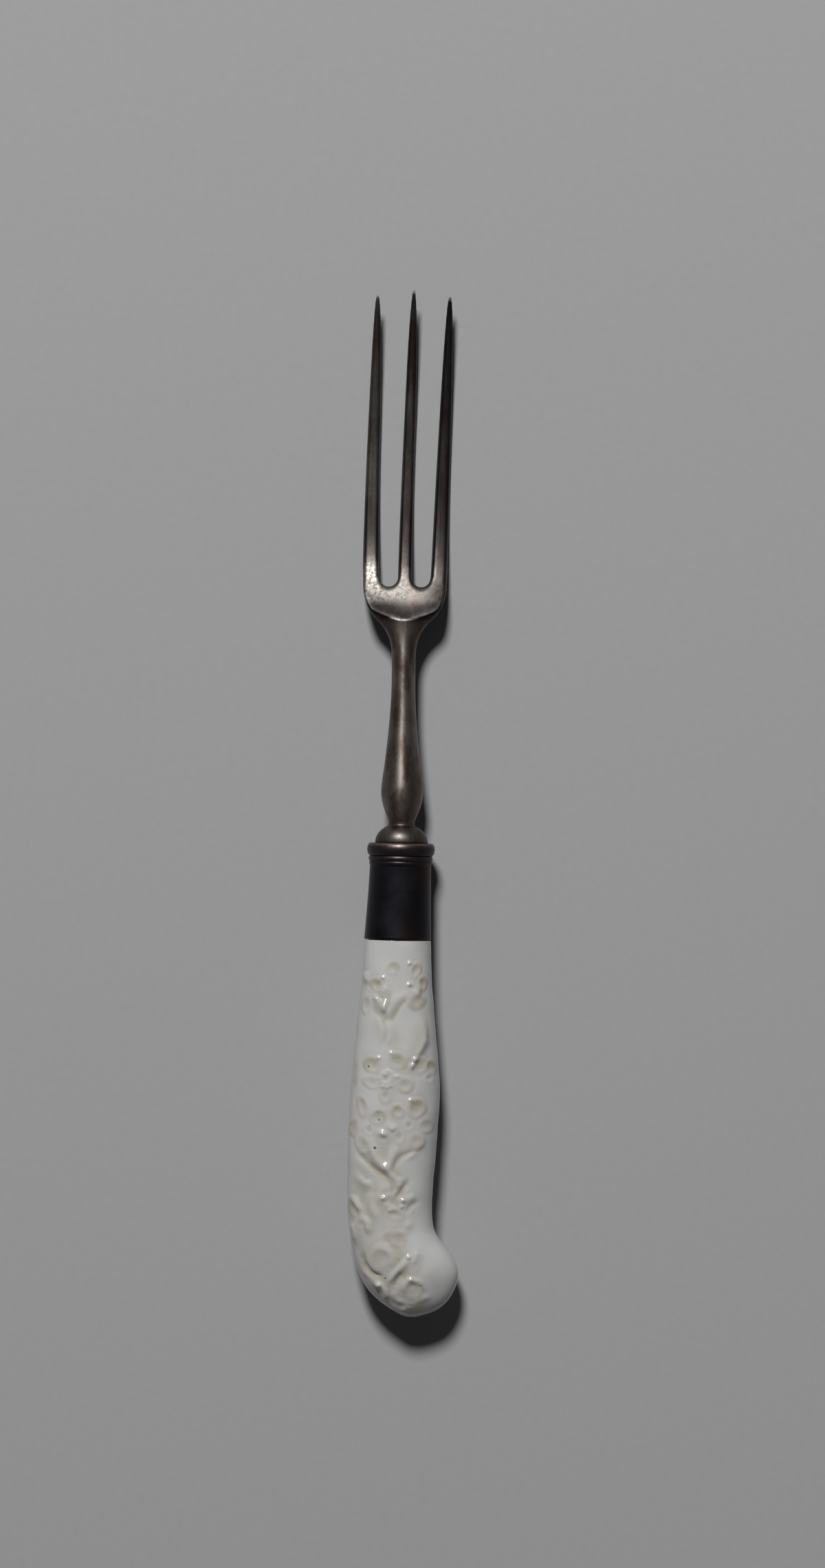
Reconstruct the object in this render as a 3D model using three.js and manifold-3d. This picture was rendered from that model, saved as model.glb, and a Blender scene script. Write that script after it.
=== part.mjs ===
// A three-tine table fork: forged steel head, silver ferrule, hollow porcelain pistol grip.
// Millimetres. In the fork's own frame +Y runs along the axis to the tines, +X is the side that
// the butt curls to, +Z is up, and Y = 0 is the top face of the ferrule.

import * as THREE from 'three';
import { mergeVertices } from 'three/addons/utils/BufferGeometryUtils.js';
import Module from 'manifold-3d';

const wasm = await Module();
wasm.setup();

// Fits
const FIT_GAP = 0.25;            // clearance between nested pieces, filled by cement or solder
const REST_FLAT_DEPTH = 0.2;     // how much the belly is ground flat where the fork rests

// Bolster, baluster and shank
const BOLSTER_RADIUS = 5.1;      // domed foot that sits on the ferrule
const BOLSTER_HEIGHT = 3.9;      // of the whole dome, which the neck cuts off
const NECK_RADIUS = 2.42;
const NECK_HEIGHT = 0.8;
const BALUSTER_RADIUS = 3.98;
const BALUSTER_RISE = 5.7;       // from the neck to the widest place
const BALUSTER_TAPER = 20;       // from the widest place to the plain shank
const BALUSTER_TAPER_POWER = 1.55;
const SHANK_RADIUS = 2.18;
const SHANK_LENGTH = 4.2;
const BOLSTER_SET = 0.14;        // sideways set of the hand-forged head at the ferrule
const SHANK_SET = -0.28;         // and at the shoulder

// Flared shoulder and plate
const FLARE_LENGTH = 9.6;
const FLARE_HALF_WIDTH = 5.75;   // at the crease between shoulder and plate
const CREASE_HALF_THICKNESS = 1.7;
const CREASE_SECTION_POWER = 2.3;
const PLATE_LENGTH = 7.3;        // from the crease to the middle of the slots' round ends
const PLATE_SHOULDER_POWER = 2.6;
const PLATE_SECTION_POWER = 5;

// Tines
const TINE_LENGTH = 55.3;         // from the slots' round ends to the tip of the middle tine
const OUTER_TINE_SHORTFALL = 1.1;
const TINE_PITCH_ROOT = 6.45;
const TINE_PITCH_TIP = 6.95;
const OUTER_TINE_ROOT_WIDTH = 3.4;
const MIDDLE_TINE_ROOT_WIDTH = 2.4;
const OUTER_TINE_TAPER_POWER = 0.49;
const MIDDLE_TINE_TAPER_POWER = 0.34;
const TINE_ROOT_THICKNESS = 2.1;
const TINE_TAPER_POWER = 0.35;
const TINE_POINT_WIDTH = 0.3;
const TINE_SECTION_POWER = 3.2;  // at the root, falling to a round section at the point
const TINE_BURIED_LENGTH = 1.5;  // inside the plate
const TINE_SET = 0.16;           // sideways set of the tips
const SLOT_EDGE_ROUND = 0.6;
const SLOT_OVERRUN = 2;          // by which the slot's cut runs past the faces of the plate

// Bend of the blade, seen from the side
const TINE_LOW_POINT = 15;       // how far past the slots' ends the tines touch the table
const TINE_TIP_RISE = 4.2;

// Tang
const TANG_LENGTH = 50;
const TANG_HALF_WIDTH = 2.0;
const TANG_HALF_THICKNESS = 1.6;
const TANG_TIP_HALF_SIZE = 0.75;
const TANG_SECTION_POWER = 6;

// Ferrule
const FERRULE_LENGTH = 18.5;
const FERRULE_FLATTENING = 0.45; // how much the half height is less than the half width
const FERRULE_WALL = 0.5;
const FERRULE_SET = -0.28;       // sideways set of the lower end, which follows the grip
const FERRULE_SET_POWER = 1.5;
const BAND_END_HALF_WIDTH = 6.33;
const BAND_TOP_HALF_WIDTH = 5.77;
const BAND_FLARE_POWER = 1.4;
const BAND_BEAD_HEIGHT = 0.7;
const BAND_BEAD_RELIEF = 0.14;
const COLLAR_BORE = 5.35;
const COLLAR_GROOVE_WALL = 0.4;
const COLLAR_ROUND_HEIGHT = 2.45;
const COLLAR_ROUND_RELIEF = 0.62;
const COLLAR_BEAD_HEIGHT = 1.05;
const COLLAR_BEAD_RELIEF = 0.28;
const CAP_THICKNESS = 0.75;

// Grip
const GRIP_LENGTH = 72.2;        // from the ferrule's lower edge to the butt
const GRIP_WALL = 2.3;
const NECK_WALL = 1.6;
const SHOULDER_GAP = 0.15;       // between the ferrule's lower edge and the grip's shoulder
const BACK_STEP = 0.4;           // by which the ferrule's edge stands out from the grip, at its back
const BELLY_STEP = 0.05;         // at its belly
const FACE_STEP = 0.2;           // and above and below
const BELLY_HALF_HEIGHT = 6.95;
const WAIST_HALF_HEIGHT = 6.35;
const KNOB_HALF_HEIGHT = 6.5;
const KNOB_ROUNDING = 12;        // length over which the butt rounds off
const BELLY_PLACE = 0.44;        // shares of the grip's length below the shoulder
const WAIST_PLACE = 0.73;
const CAVITY_PAST_TANG = 18.5;   // how far the hollow runs on below the tang
const GRIP_SECTION_POWER = 2.25;

// Plan of the grip: share of the grip's length below the shoulder, distance from the fork's axis.
const GRIP_BACK = [
  [0, FERRULE_SET - BAND_END_HALF_WIDTH + BACK_STEP], [0.13, -7.1], [0.26, -7.95], [0.4, -8.68],
  [0.54, -9.0], [0.67, -8.9], [0.77, -8.4], [0.85, -7.15], [0.915, -5.35], [0.955, -2.75],
  [0.982, 0], [0.996, 2.3], [1, 4.6],
];
const GRIP_BELLY = [
  [0, FERRULE_SET + BAND_END_HALF_WIDTH - BELLY_STEP], [0.13, 6.6], [0.27, 7.68], [0.41, 8.48],
  [0.55, 8.02], [0.68, 7.48], [0.735, 7.46], [0.77, 7.95], [0.8, 9.35], [0.835, 11.6],
  [0.875, 12.82], [0.92, 12.33], [0.96, 10.6], [0.988, 8.0], [1, 4.6],
];

// Facets
const HEAD_SIDES = 32;
const DOME_STEPS = 9;
const BULB_STEPS = 8;
const TAPER_STEPS = 10;
const FLARE_STEPS = 9;
const PLATE_STEPS = 10;
const TINE_SIDES = 16;
const TINE_STEPS = 22;
const TINE_STEP_CROWDING = 1.5;  // the steps grow shorter towards the point
const SLOT_EDGE_STEPS = 4;
const SLOPE_REACH = 0.5;         // half the length over which the blade's slope is taken
const HANDLE_SIDES = 40;
const COLLAR_STEPS = 10;
const BEAD_STEPS = 6;
const BAND_STEPS = 6;
const BAND_BORE_STEPS = 4;
const NECK_STEPS = 3;
const GRIP_STEPS = 26;
const BUTT_STEPS = 10;
const CAVITY_STEPS = 10;
const SPLINE_SAMPLES = 400;
const BUTT_CAP_ANGLE = 0.03;     // size of the small facet that closes the butt, in radians

// Places along the axis
const neckY = BOLSTER_HEIGHT * Math.sqrt(1 - (NECK_RADIUS / BOLSTER_RADIUS) ** 2);
const balusterY = neckY + NECK_HEIGHT + BALUSTER_RISE;
const shankY = balusterY + BALUSTER_TAPER;
const flareY = shankY + SHANK_LENGTH;
const creaseY = flareY + FLARE_LENGTH;
const slotEndY = creaseY + PLATE_LENGTH;
const lowY = slotEndY + TINE_LOW_POINT;
const tipY = slotEndY + TINE_LENGTH;
const collarEndY = -COLLAR_ROUND_HEIGHT - COLLAR_BEAD_HEIGHT;
const shoulderY = -FERRULE_LENGTH - SHOULDER_GAP;
const restZ = -(BELLY_HALF_HEIGHT - REST_FLAT_DEPTH);
const plateHalfWidth = TINE_PITCH_ROOT + OUTER_TINE_ROOT_WIDTH / 2;

const steps = (count) => Array.from({ length: count + 1 }, (_, i) => i / count);
const mix = THREE.MathUtils.lerp;
const ease = (t) => THREE.MathUtils.smoothstep(t, 0, 1);

// One ring of a loft: a superellipse square to Y.
function ring(y, { x = 0, z = 0, width, height, power = 2, sides }) {
  const bulge = (v) => Math.sign(v) * Math.abs(v) ** (2 / power);
  return Array.from({ length: sides }, (_, i) => {
    const angle = (2 * Math.PI * i) / sides;
    return [x + width * bulge(Math.cos(angle)), y, z + height * bulge(Math.sin(angle))];
  });
}

// A closed skin over rings that all have the same number of points. An open run of rings is capped
// at both ends, and a closed run joins its last ring to its first.
function loft(rings, closed = false) {
  const sides = rings[0].length;
  const points = rings.flat();
  const faces = [];
  const spans = closed ? rings.length : rings.length - 1;
  for (let j = 0; j < spans; j++) {
    const low = j * sides;
    const high = ((j + 1) % rings.length) * sides;
    for (let i = 0; i < sides; i++) {
      const k = (i + 1) % sides;
      faces.push(low + i, high + i, high + k, low + i, high + k, low + k);
    }
  }
  if (!closed) {
    const middle = (r) => r[0].map((_, axis) => r.reduce((sum, p) => sum + p[axis], 0) / r.length);
    const first = points.push(middle(rings[0])) - 1;
    const last = points.push(middle(rings.at(-1))) - 1;
    const top = (rings.length - 1) * sides;
    for (let i = 0; i < sides; i++) {
      const k = (i + 1) % sides;
      faces.push(first, i, k, last, top + k, top + i);
    }
  }
  const geometry = new THREE.BufferGeometry();
  geometry.setAttribute('position', new THREE.Float32BufferAttribute(points.flat(), 3));
  geometry.setIndex(faces);
  return geometry;
}

function solidOf(geometry) {
  const bare = new THREE.BufferGeometry();
  bare.setAttribute('position', geometry.getAttribute('position'));
  bare.setIndex(geometry.getIndex());
  const merged = mergeVertices(bare);
  const vertProperties = new Float32Array(merged.getAttribute('position').array);
  const triVerts = new Uint32Array(merged.getIndex().array);
  return new wasm.Manifold(new wasm.Mesh({ numProp: 3, vertProperties, triVerts }));
}

function geometryOf(solid) {
  const { vertProperties, triVerts } = solid.getMesh();
  const geometry = new THREE.BufferGeometry();
  geometry.setAttribute('position', new THREE.BufferAttribute(vertProperties, 3));
  geometry.setIndex(new THREE.BufferAttribute(triVerts, 1));
  return geometry;
}

function tineHalfThickness(share) {
  return mix(TINE_POINT_WIDTH / 2, TINE_ROOT_THICKNESS / 2, (1 - share) ** TINE_TAPER_POWER);
}

// Mid-surface of the blade: it falls from the crease to the table and rises again to the tips.
function bladeZ(y) {
  const low = restZ + tineHalfThickness(TINE_LOW_POINT / TINE_LENGTH);
  if (y <= creaseY) return 0;
  if (y <= lowY) return low * (1 - ((lowY - y) / (lowY - creaseY)) ** 2);
  return low + TINE_TIP_RISE * ((y - lowY) / (tipY - lowY)) ** 2;
}

function bladeSlope(y) {
  return Math.atan2(bladeZ(y + SLOPE_REACH) - bladeZ(y - SLOPE_REACH), 2 * SLOPE_REACH);
}

// Sideways drift of the hand-forged head from the axis.
function headX(y) {
  const shank = mix(BOLSTER_SET, SHANK_SET, THREE.MathUtils.clamp(y / creaseY, 0, 1));
  return mix(shank, TINE_SET, ease((y - slotEndY) / (tipY - slotEndY)));
}

function tangSize(y) {
  const share = -y / TANG_LENGTH;
  return {
    width: mix(TANG_HALF_WIDTH, TANG_TIP_HALF_SIZE, share),
    height: mix(TANG_HALF_THICKNESS, TANG_TIP_HALF_SIZE, share),
    power: TANG_SECTION_POWER,
  };
}

// Tang, bolster, baluster, shank, shoulder and plate, as one run of rings.
function headBody() {
  const rings = [];
  const add = (y, size) => rings.push(ring(y, { x: headX(y), sides: HEAD_SIDES, ...size }));
  const round = (y, radius) => add(y, { width: radius, height: radius });
  add(-TANG_LENGTH, tangSize(-TANG_LENGTH));
  add(0, tangSize(0));
  for (const t of steps(DOME_STEPS)) {
    const angle = t * Math.acos(NECK_RADIUS / BOLSTER_RADIUS);
    const width = BOLSTER_RADIUS * Math.cos(angle);
    const flat = FERRULE_FLATTENING * (1 - t);
    add(BOLSTER_HEIGHT * Math.sin(angle), { width, height: width - flat });
  }
  for (const t of steps(BULB_STEPS)) {
    const y = mix(neckY + NECK_HEIGHT, balusterY, t);
    round(y, mix(NECK_RADIUS, BALUSTER_RADIUS, Math.sin((t * Math.PI) / 2)));
  }
  for (const t of steps(TAPER_STEPS).slice(1)) {
    const y = mix(balusterY, shankY, t);
    round(y, mix(SHANK_RADIUS, BALUSTER_RADIUS, (1 - t) ** BALUSTER_TAPER_POWER));
  }
  for (const t of steps(FLARE_STEPS)) {
    add(mix(flareY, creaseY, t), {
      width: mix(SHANK_RADIUS, FLARE_HALF_WIDTH, t * t),
      height: mix(SHANK_RADIUS, CREASE_HALF_THICKNESS, t),
      power: mix(2, CREASE_SECTION_POWER, t),
    });
  }
  for (const t of steps(PLATE_STEPS).slice(1)) {
    const y = mix(creaseY, slotEndY, t);
    add(y, {
      z: bladeZ(y),
      width: mix(plateHalfWidth, FLARE_HALF_WIDTH, (1 - t) ** PLATE_SHOULDER_POWER),
      height: mix(TINE_ROOT_THICKNESS / 2, CREASE_HALF_THICKNESS, (1 - t) ** 2),
      power: mix(CREASE_SECTION_POWER, PLATE_SECTION_POWER, Math.min(1, 2 * t)),
    });
  }
  return loft(rings);
}

// One tine from inside the plate to its point. side is -1, 0 or 1.
function tine(side) {
  const length = TINE_LENGTH - Math.abs(side) * OUTER_TINE_SHORTFALL;
  const rootHalf = (side ? OUTER_TINE_ROOT_WIDTH : MIDDLE_TINE_ROOT_WIDTH) / 2;
  const power = side ? OUTER_TINE_TAPER_POWER : MIDDLE_TINE_TAPER_POWER;
  const section = (y, share) => {
    const pitch = mix(TINE_PITCH_ROOT, TINE_PITCH_TIP, Math.sqrt(share));
    return ring(y, {
      x: headX(y) + side * pitch,
      z: bladeZ(y),
      width: mix(TINE_POINT_WIDTH / 2, rootHalf, (1 - share) ** power),
      height: tineHalfThickness(share),
      power: mix(TINE_SECTION_POWER, 2, share),
      sides: TINE_SIDES,
    });
  };
  const buriedY = slotEndY - TINE_BURIED_LENGTH;
  const buried = ring(buriedY, {
    x: headX(buriedY) + side * (TINE_PITCH_ROOT - rootHalf / 2),
    z: bladeZ(buriedY),
    width: rootHalf / 2,
    height: TINE_ROOT_THICKNESS / 3,
    sides: TINE_SIDES,
  });
  const shares = steps(TINE_STEPS).map((t) => 1 - (1 - t) ** TINE_STEP_CROWDING);
  return loft([buried, ...shares.map((share) => section(slotEndY + share * length, share))]);
}

// A spool that rounds the end of one slot, with its edges eased at both faces of the plate.
function slotEnd(side) {
  const radius = (TINE_PITCH_ROOT - OUTER_TINE_ROOT_WIDTH / 2 - MIDDLE_TINE_ROOT_WIDTH / 2) / 2;
  const centre = MIDDLE_TINE_ROOT_WIDTH / 2 + radius;
  const face = TINE_ROOT_THICKNESS / 2;
  const reach = face + SLOT_OVERRUN;
  const profile = [];
  for (const t of steps(SLOT_EDGE_STEPS)) {
    const angle = (t * Math.PI) / 2;
    const height = face - SLOT_EDGE_ROUND * (1 - Math.sin(angle));
    profile.push([radius + SLOT_EDGE_ROUND * (1 - Math.cos(angle)), height]);
  }
  profile.push([radius + SLOT_EDGE_ROUND + SLOT_OVERRUN, reach]);
  const lower = profile.map(([r, h]) => new THREE.Vector2(r, -h)).reverse();
  const upper = profile.map(([r, h]) => new THREE.Vector2(r, h));
  const ends = [new THREE.Vector2(0, -reach), new THREE.Vector2(0, reach)];
  const spool = new THREE.LatheGeometry([ends[0], ...lower, ...upper, ends[1]], HEAD_SIDES);
  spool.rotateX(Math.PI / 2 + bladeSlope(slotEndY));
  return spool.translate(headX(slotEndY) + side * centre, slotEndY, bladeZ(slotEndY));
}

function forkHead() {
  let head = solidOf(headBody());
  for (const side of [-1, 1]) head = head.subtract(solidOf(slotEnd(side)));
  for (const side of [-1, 0, 1]) head = head.add(solidOf(tine(side)));
  return geometryOf(head);
}

const ferruleX = (y) => FERRULE_SET * Math.max(0, -y / FERRULE_LENGTH) ** FERRULE_SET_POWER;

// A ring of the ferrule, of the neck inside it or of the cement: the same oval throughout.
function ferruleRing(y, width) {
  return ring(y, {
    x: ferruleX(y), width, height: width - FERRULE_FLATTENING, sides: HANDLE_SIDES,
  });
}

function tangHole(y) {
  const { width, height, power } = tangSize(y);
  const x = headX(y);
  return ring(y, { x, width: width + FIT_GAP, height: height + FIT_GAP, power, sides: HANDLE_SIDES });
}

const spigotHalfWidth = COLLAR_BORE - FIT_GAP;

function ferruleCap() {
  const outer = [ferruleRing(-CAP_THICKNESS, spigotHalfWidth), ferruleRing(0, spigotHalfWidth)];
  return loft([...outer, tangHole(0), tangHole(-CAP_THICKNESS)], true);
}

// A half-round moulding that runs up from y over a height, on a ground of a given half width.
function halfRound(y, height, ground, relief, count) {
  return steps(count).map((t) => {
    const angle = Math.PI * t;
    return ferruleRing(y + (height * (1 - Math.cos(angle))) / 2, ground + relief * Math.sin(angle));
  });
}

function ferruleCollar() {
  const ground = COLLAR_BORE + COLLAR_GROOVE_WALL;
  const outer = [
    ...halfRound(collarEndY, COLLAR_BEAD_HEIGHT, ground, COLLAR_BEAD_RELIEF, BEAD_STEPS),
    ...halfRound(
      -COLLAR_ROUND_HEIGHT, COLLAR_ROUND_HEIGHT, ground, COLLAR_ROUND_RELIEF, COLLAR_STEPS,
    ).slice(1),
  ];
  const bore = [ferruleRing(0, COLLAR_BORE), ferruleRing(collarEndY, COLLAR_BORE)];
  return loft([...outer, ...bore], true);
}

const bandTopY = collarEndY - BAND_BEAD_HEIGHT;
const bandBoreTopY = bandTopY - FERRULE_WALL;

function bandHalfWidth(y) {
  const share = THREE.MathUtils.clamp((bandTopY - y) / (bandTopY + FERRULE_LENGTH), 0, 1);
  return mix(BAND_TOP_HALF_WIDTH, BAND_END_HALF_WIDTH, share ** BAND_FLARE_POWER);
}

function ferruleBand() {
  const runs = steps(BAND_STEPS).map((t) => mix(-FERRULE_LENGTH, bandTopY, t)).slice(0, -1);
  const outer = [
    ...runs.map((y) => ferruleRing(y, bandHalfWidth(y))),
    ...halfRound(bandTopY, BAND_BEAD_HEIGHT, BAND_TOP_HALF_WIDTH, BAND_BEAD_RELIEF, BEAD_STEPS),
    ferruleRing(collarEndY, spigotHalfWidth),
    ferruleRing(-CAP_THICKNESS, spigotHalfWidth),
  ];
  const inner = [
    ferruleRing(-CAP_THICKNESS, spigotHalfWidth - FERRULE_WALL),
    ferruleRing(bandBoreTopY, spigotHalfWidth - FERRULE_WALL),
    ...steps(BAND_BORE_STEPS).reverse().map((t) => {
      const y = mix(-FERRULE_LENGTH, bandBoreTopY, t);
      return ferruleRing(y, bandHalfWidth(y) - FERRULE_WALL);
    }),
  ];
  return loft([...outer, ...inner], true);
}

// The side of the grip's plan as a function of Y.
function gripSide(plan) {
  const points = plan.map(([share, x]) => new THREE.Vector2(x, shoulderY - share * GRIP_LENGTH));
  const samples = new THREE.SplineCurve(points).getPoints(SPLINE_SAMPLES);
  return (y) => {
    const next = Math.max(1, samples.findIndex((p) => p.y <= y));
    const [above, below] = [samples[next - 1], samples[next]];
    const share = above.y === below.y ? 0 : (above.y - y) / (above.y - below.y);
    return mix(above.x, below.x, THREE.MathUtils.clamp(share, 0, 1));
  };
}

const gripBack = gripSide(GRIP_BACK);
const gripBelly = gripSide(GRIP_BELLY);
const buttY = shoulderY - GRIP_LENGTH;
const knobY = buttY + KNOB_ROUNDING;
const bellyY = shoulderY - BELLY_PLACE * GRIP_LENGTH;
const waistY = shoulderY - WAIST_PLACE * GRIP_LENGTH;
const shoulderHalfHeight = BAND_END_HALF_WIDTH - FERRULE_FLATTENING - FACE_STEP;
const gripHalfHeights = new THREE.CubicInterpolant(
  [buttY, knobY, waistY, bellyY, shoulderY],
  [KNOB_HALF_HEIGHT, KNOB_HALF_HEIGHT, WAIST_HALF_HEIGHT, BELLY_HALF_HEIGHT, shoulderHalfHeight],
  1,
);

// A ring of the grip, drawn in by an inset. At the butt the half height rounds off as a quarter ellipse.
function gripRing(y, inset = 0) {
  const [back, belly] = [gripBack(y), gripBelly(y)];
  const rounding = Math.max(0, (knobY - y) / KNOB_ROUNDING);
  const height = gripHalfHeights.evaluate(y)[0] * Math.sqrt(Math.max(0, 1 - rounding ** 2));
  return ring(y, {
    x: (back + belly) / 2,
    width: (belly - back) / 2 - inset,
    height: height - inset,
    power: GRIP_SECTION_POWER,
    sides: HANDLE_SIDES,
  });
}

const neckTopY = bandBoreTopY - FIT_GAP;
const neckHalfWidth = (y) => bandHalfWidth(y) - FERRULE_WALL - FIT_GAP;
const cavityEndY = -TANG_LENGTH - CAVITY_PAST_TANG;

// The hollow inside the grip, from the top of the neck down, drawn in by an inset.
function cavityRings(inset) {
  const neck = [neckTopY, shoulderY].map((y) => ferruleRing(y, neckHalfWidth(y) - NECK_WALL - inset));
  const body = steps(CAVITY_STEPS).slice(1).map((t) => {
    return gripRing(mix(shoulderY, cavityEndY + inset, t), GRIP_WALL + inset);
  });
  return [...neck, ...body];
}

function handle() {
  const buttAngles = steps(BUTT_STEPS).slice(0, -1).map((t) => mix(BUTT_CAP_ANGLE, Math.PI / 2, t));
  const buttRings = buttAngles.map((angle) => gripRing(knobY - KNOB_ROUNDING * Math.cos(angle)));
  const bodyRings = steps(GRIP_STEPS).map((t) => gripRing(mix(knobY, shoulderY, t)));
  const neckRings = steps(NECK_STEPS).map((t) => {
    const y = mix(shoulderY, neckTopY, t);
    return ferruleRing(y, neckHalfWidth(y));
  });
  const shell = solidOf(loft([...buttRings, ...bodyRings, ...neckRings, ...cavityRings(0)]));
  const table = new THREE.BoxGeometry(4 * BELLY_HALF_HEIGHT, 2 * GRIP_LENGTH, BELLY_HALF_HEIGHT);
  table.translate(0, bellyY, restZ - BELLY_HALF_HEIGHT / 2);
  return geometryOf(shell.subtract(solidOf(table)));
}

function cementCore() {
  const headHalfWidth = spigotHalfWidth - FERRULE_WALL - FIT_GAP;
  const headTopY = -CAP_THICKNESS - FIT_GAP;
  const filling = cavityRings(FIT_GAP).reverse();
  const head = [ferruleRing(neckTopY + FIT_GAP, headHalfWidth), ferruleRing(headTopY, headHalfWidth)];
  const stem = ferruleRing(neckTopY + FIT_GAP, neckHalfWidth(neckTopY) - NECK_WALL - FIT_GAP);
  const hole = [headTopY, -TANG_LENGTH - FIT_GAP].map(tangHole);
  return loft([...filling, stem, ...head, ...hole]);
}

function piece(name, geometry, color, roughness, metalness) {
  geometry.computeVertexNormals();
  const mesh = new THREE.Mesh(geometry, new THREE.MeshStandardMaterial({ color, roughness, metalness }));
  mesh.name = name;
  return mesh;
}

const fork = new THREE.Group();
fork.add(
  piece('fork_head', forkHead(), 0x6b6660, 0.4, 1),
  piece('ferrule_cap', ferruleCap(), 0x35363a, 0.45, 1),
  piece('ferrule_collar', ferruleCollar(), 0x35363a, 0.4, 1),
  piece('ferrule_band', ferruleBand(), 0x2b2c31, 0.45, 1),
  piece('handle', handle(), 0xd9d5c6, 0.12, 0),
  piece('cement_core', cementCore(), 0x4a3222, 0.7, 0),
);

// The part stands on Z = 0 with the middle of its box over the origin.
const box = new THREE.Box3().setFromObject(fork, true);
const middle = box.getCenter(new THREE.Vector3());
fork.position.set(-middle.x, -middle.y, -box.min.z);

export default new THREE.Group().add(fork);
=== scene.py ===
"""Looks of a table fork: worn forged steel with painted sheen and painted shade, blackened silver with a
painted highlight on its collar, and moulded, glazed porcelain.
"""

import math

import bmesh
import bpy
import numpy as np
from mathutils import Matrix, Vector
from mathutils.bvhtree import BVHTree


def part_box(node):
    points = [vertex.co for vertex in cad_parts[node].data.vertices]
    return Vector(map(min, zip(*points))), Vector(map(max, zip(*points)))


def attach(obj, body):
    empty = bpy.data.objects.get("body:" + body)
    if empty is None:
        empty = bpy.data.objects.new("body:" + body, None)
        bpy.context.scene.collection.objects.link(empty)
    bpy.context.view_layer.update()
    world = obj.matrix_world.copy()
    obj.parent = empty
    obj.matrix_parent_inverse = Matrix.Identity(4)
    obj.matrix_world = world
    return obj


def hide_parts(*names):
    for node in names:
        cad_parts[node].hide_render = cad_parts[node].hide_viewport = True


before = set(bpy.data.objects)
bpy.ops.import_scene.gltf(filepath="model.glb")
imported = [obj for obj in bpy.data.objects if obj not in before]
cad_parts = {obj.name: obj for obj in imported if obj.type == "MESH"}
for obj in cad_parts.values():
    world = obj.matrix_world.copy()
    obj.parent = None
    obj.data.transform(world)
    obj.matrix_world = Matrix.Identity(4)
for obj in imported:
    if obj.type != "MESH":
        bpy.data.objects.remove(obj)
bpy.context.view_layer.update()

MM = 0.001
BODY = "root"

# The fork's own frame, in millimetres: the origin is in the top face of the ferrule's cap.
cap_low, cap_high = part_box("ferrule_cap")
ORIGIN = np.array([(cap_low.x + cap_high.x) / 2, cap_high.y, (cap_low.z + cap_high.z) / 2])
TABLE_Z = -ORIGIN[2] / MM

# Camera: straight above, with the fork leaning a little to the right in the picture
PICTURE_LEAN = math.radians(1.25)
PICTURE_HEIGHT = 0.301
PICTURE_MIDDLE = (0.00001, 0.00364)
CAMERA_DISTANCE = 1.2
SENSOR = 36.0

# Light
KEY_AZIMUTH = math.radians(13)
KEY_ELEVATION = math.radians(50)
KEY_DISTANCE = 2.2
KEY_SIZE = 0.46
KEY_POWER = 48.5
WORLD_LEVEL = 0.04
REFLECTED_LEVEL = 0.15
BACKDROP_LEVEL = 0.3
FLOOR_SIZE = 6.0

# Head
BOLSTER_RADIUS = 5.1
BOLSTER_HEIGHT = 3.9
NECK_RADIUS = 2.5
NECK_HEIGHT = 0.8
BALUSTER_RADIUS = 4.16
BALUSTER_RISE = 5.7
BALUSTER_TAPER = 20
BALUSTER_TAPER_POWER = 1.55
BALUSTER_SMOOTHING = 4
SHANK_RADIUS = 2.28
SHANK_LENGTH = 4.2
BOLSTER_SET = 0.06
SHANK_SET = -0.37
FLARE_LENGTH = 9.1
FLARE_HALF_WIDTH = 5.75
FLARE_POWER = 3.1
CREASE_HALF_THICKNESS = 1.7
CREASE_SECTION_POWER = 1.8
CREASE_CURVE = 0.055
CREASE_SOFTNESS = 0.08
PLATE_LENGTH = 7.8
PLATE_SHOULDER_POWER = 2.6
PLATE_SECTION_POWER = 8
PLATE_CROWN = 0.004
TINE_LENGTH = 55.3
OUTER_TINE_SHORTFALL = 1.1
TINE_PITCH_ROOT = 6.5
TINE_PITCH_TIP = 6.95
OUTER_TINE_ROOT_WIDTH = 3.25
MIDDLE_TINE_ROOT_WIDTH = 2.75
OUTER_TINE_TAPER_POWER = 0.37
MIDDLE_TINE_TAPER_POWER = 0.25
TINE_ROOT_THICKNESS = 2.1
TINE_TAPER_POWER = 0.35
TINE_POINT_WIDTH = 0.25
TINE_POINT_LENGTH = 4.5
OUTER_TINE_POINT_EASE = 0.12
MIDDLE_TINE_POINT_EASE = 0.45
TINE_SECTION_POWER = 6
TINE_TIP_SECTION_POWER = 2.4
TINE_BEVEL = 0.3
BEVEL_START = -0.4
TINE_BURIED_LENGTH = 5
TINE_BURIED_DEPTH = 0.4
TINE_BURIED_WIDTH = 0.5
TINE_BURIED_HEIGHT = 0.85
TINE_SET = 0.16
TINE_LOW_POINT = 17.5
TINE_TIP_RISE = 4.2
SLOT_EDGE_ROUND = 0.7
SLOT_OVERRUN = 2
TANG_LENGTH = 50
TANG_HALF_WIDTH = 2.0
TANG_HALF_THICKNESS = 1.6
TANG_TIP_HALF_SIZE = 0.75
TANG_SECTION_POWER = 6

# Mesh of the head
HEAD_SIDES = 96
DOME_STEPS = 24
STEM_STEPS = 80
BLADE_STEPS = 30
BURIED_STEPS = 8
TINE_STEPS = 90
TINE_STEP_CROWDING = 1.5
SLOT_EDGE_STEPS = 10
HEAD_VOXEL = 0.15
HEAD_SMOOTHING = 6
HEAD_SMOOTHING_FACTOR = 0.5
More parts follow.
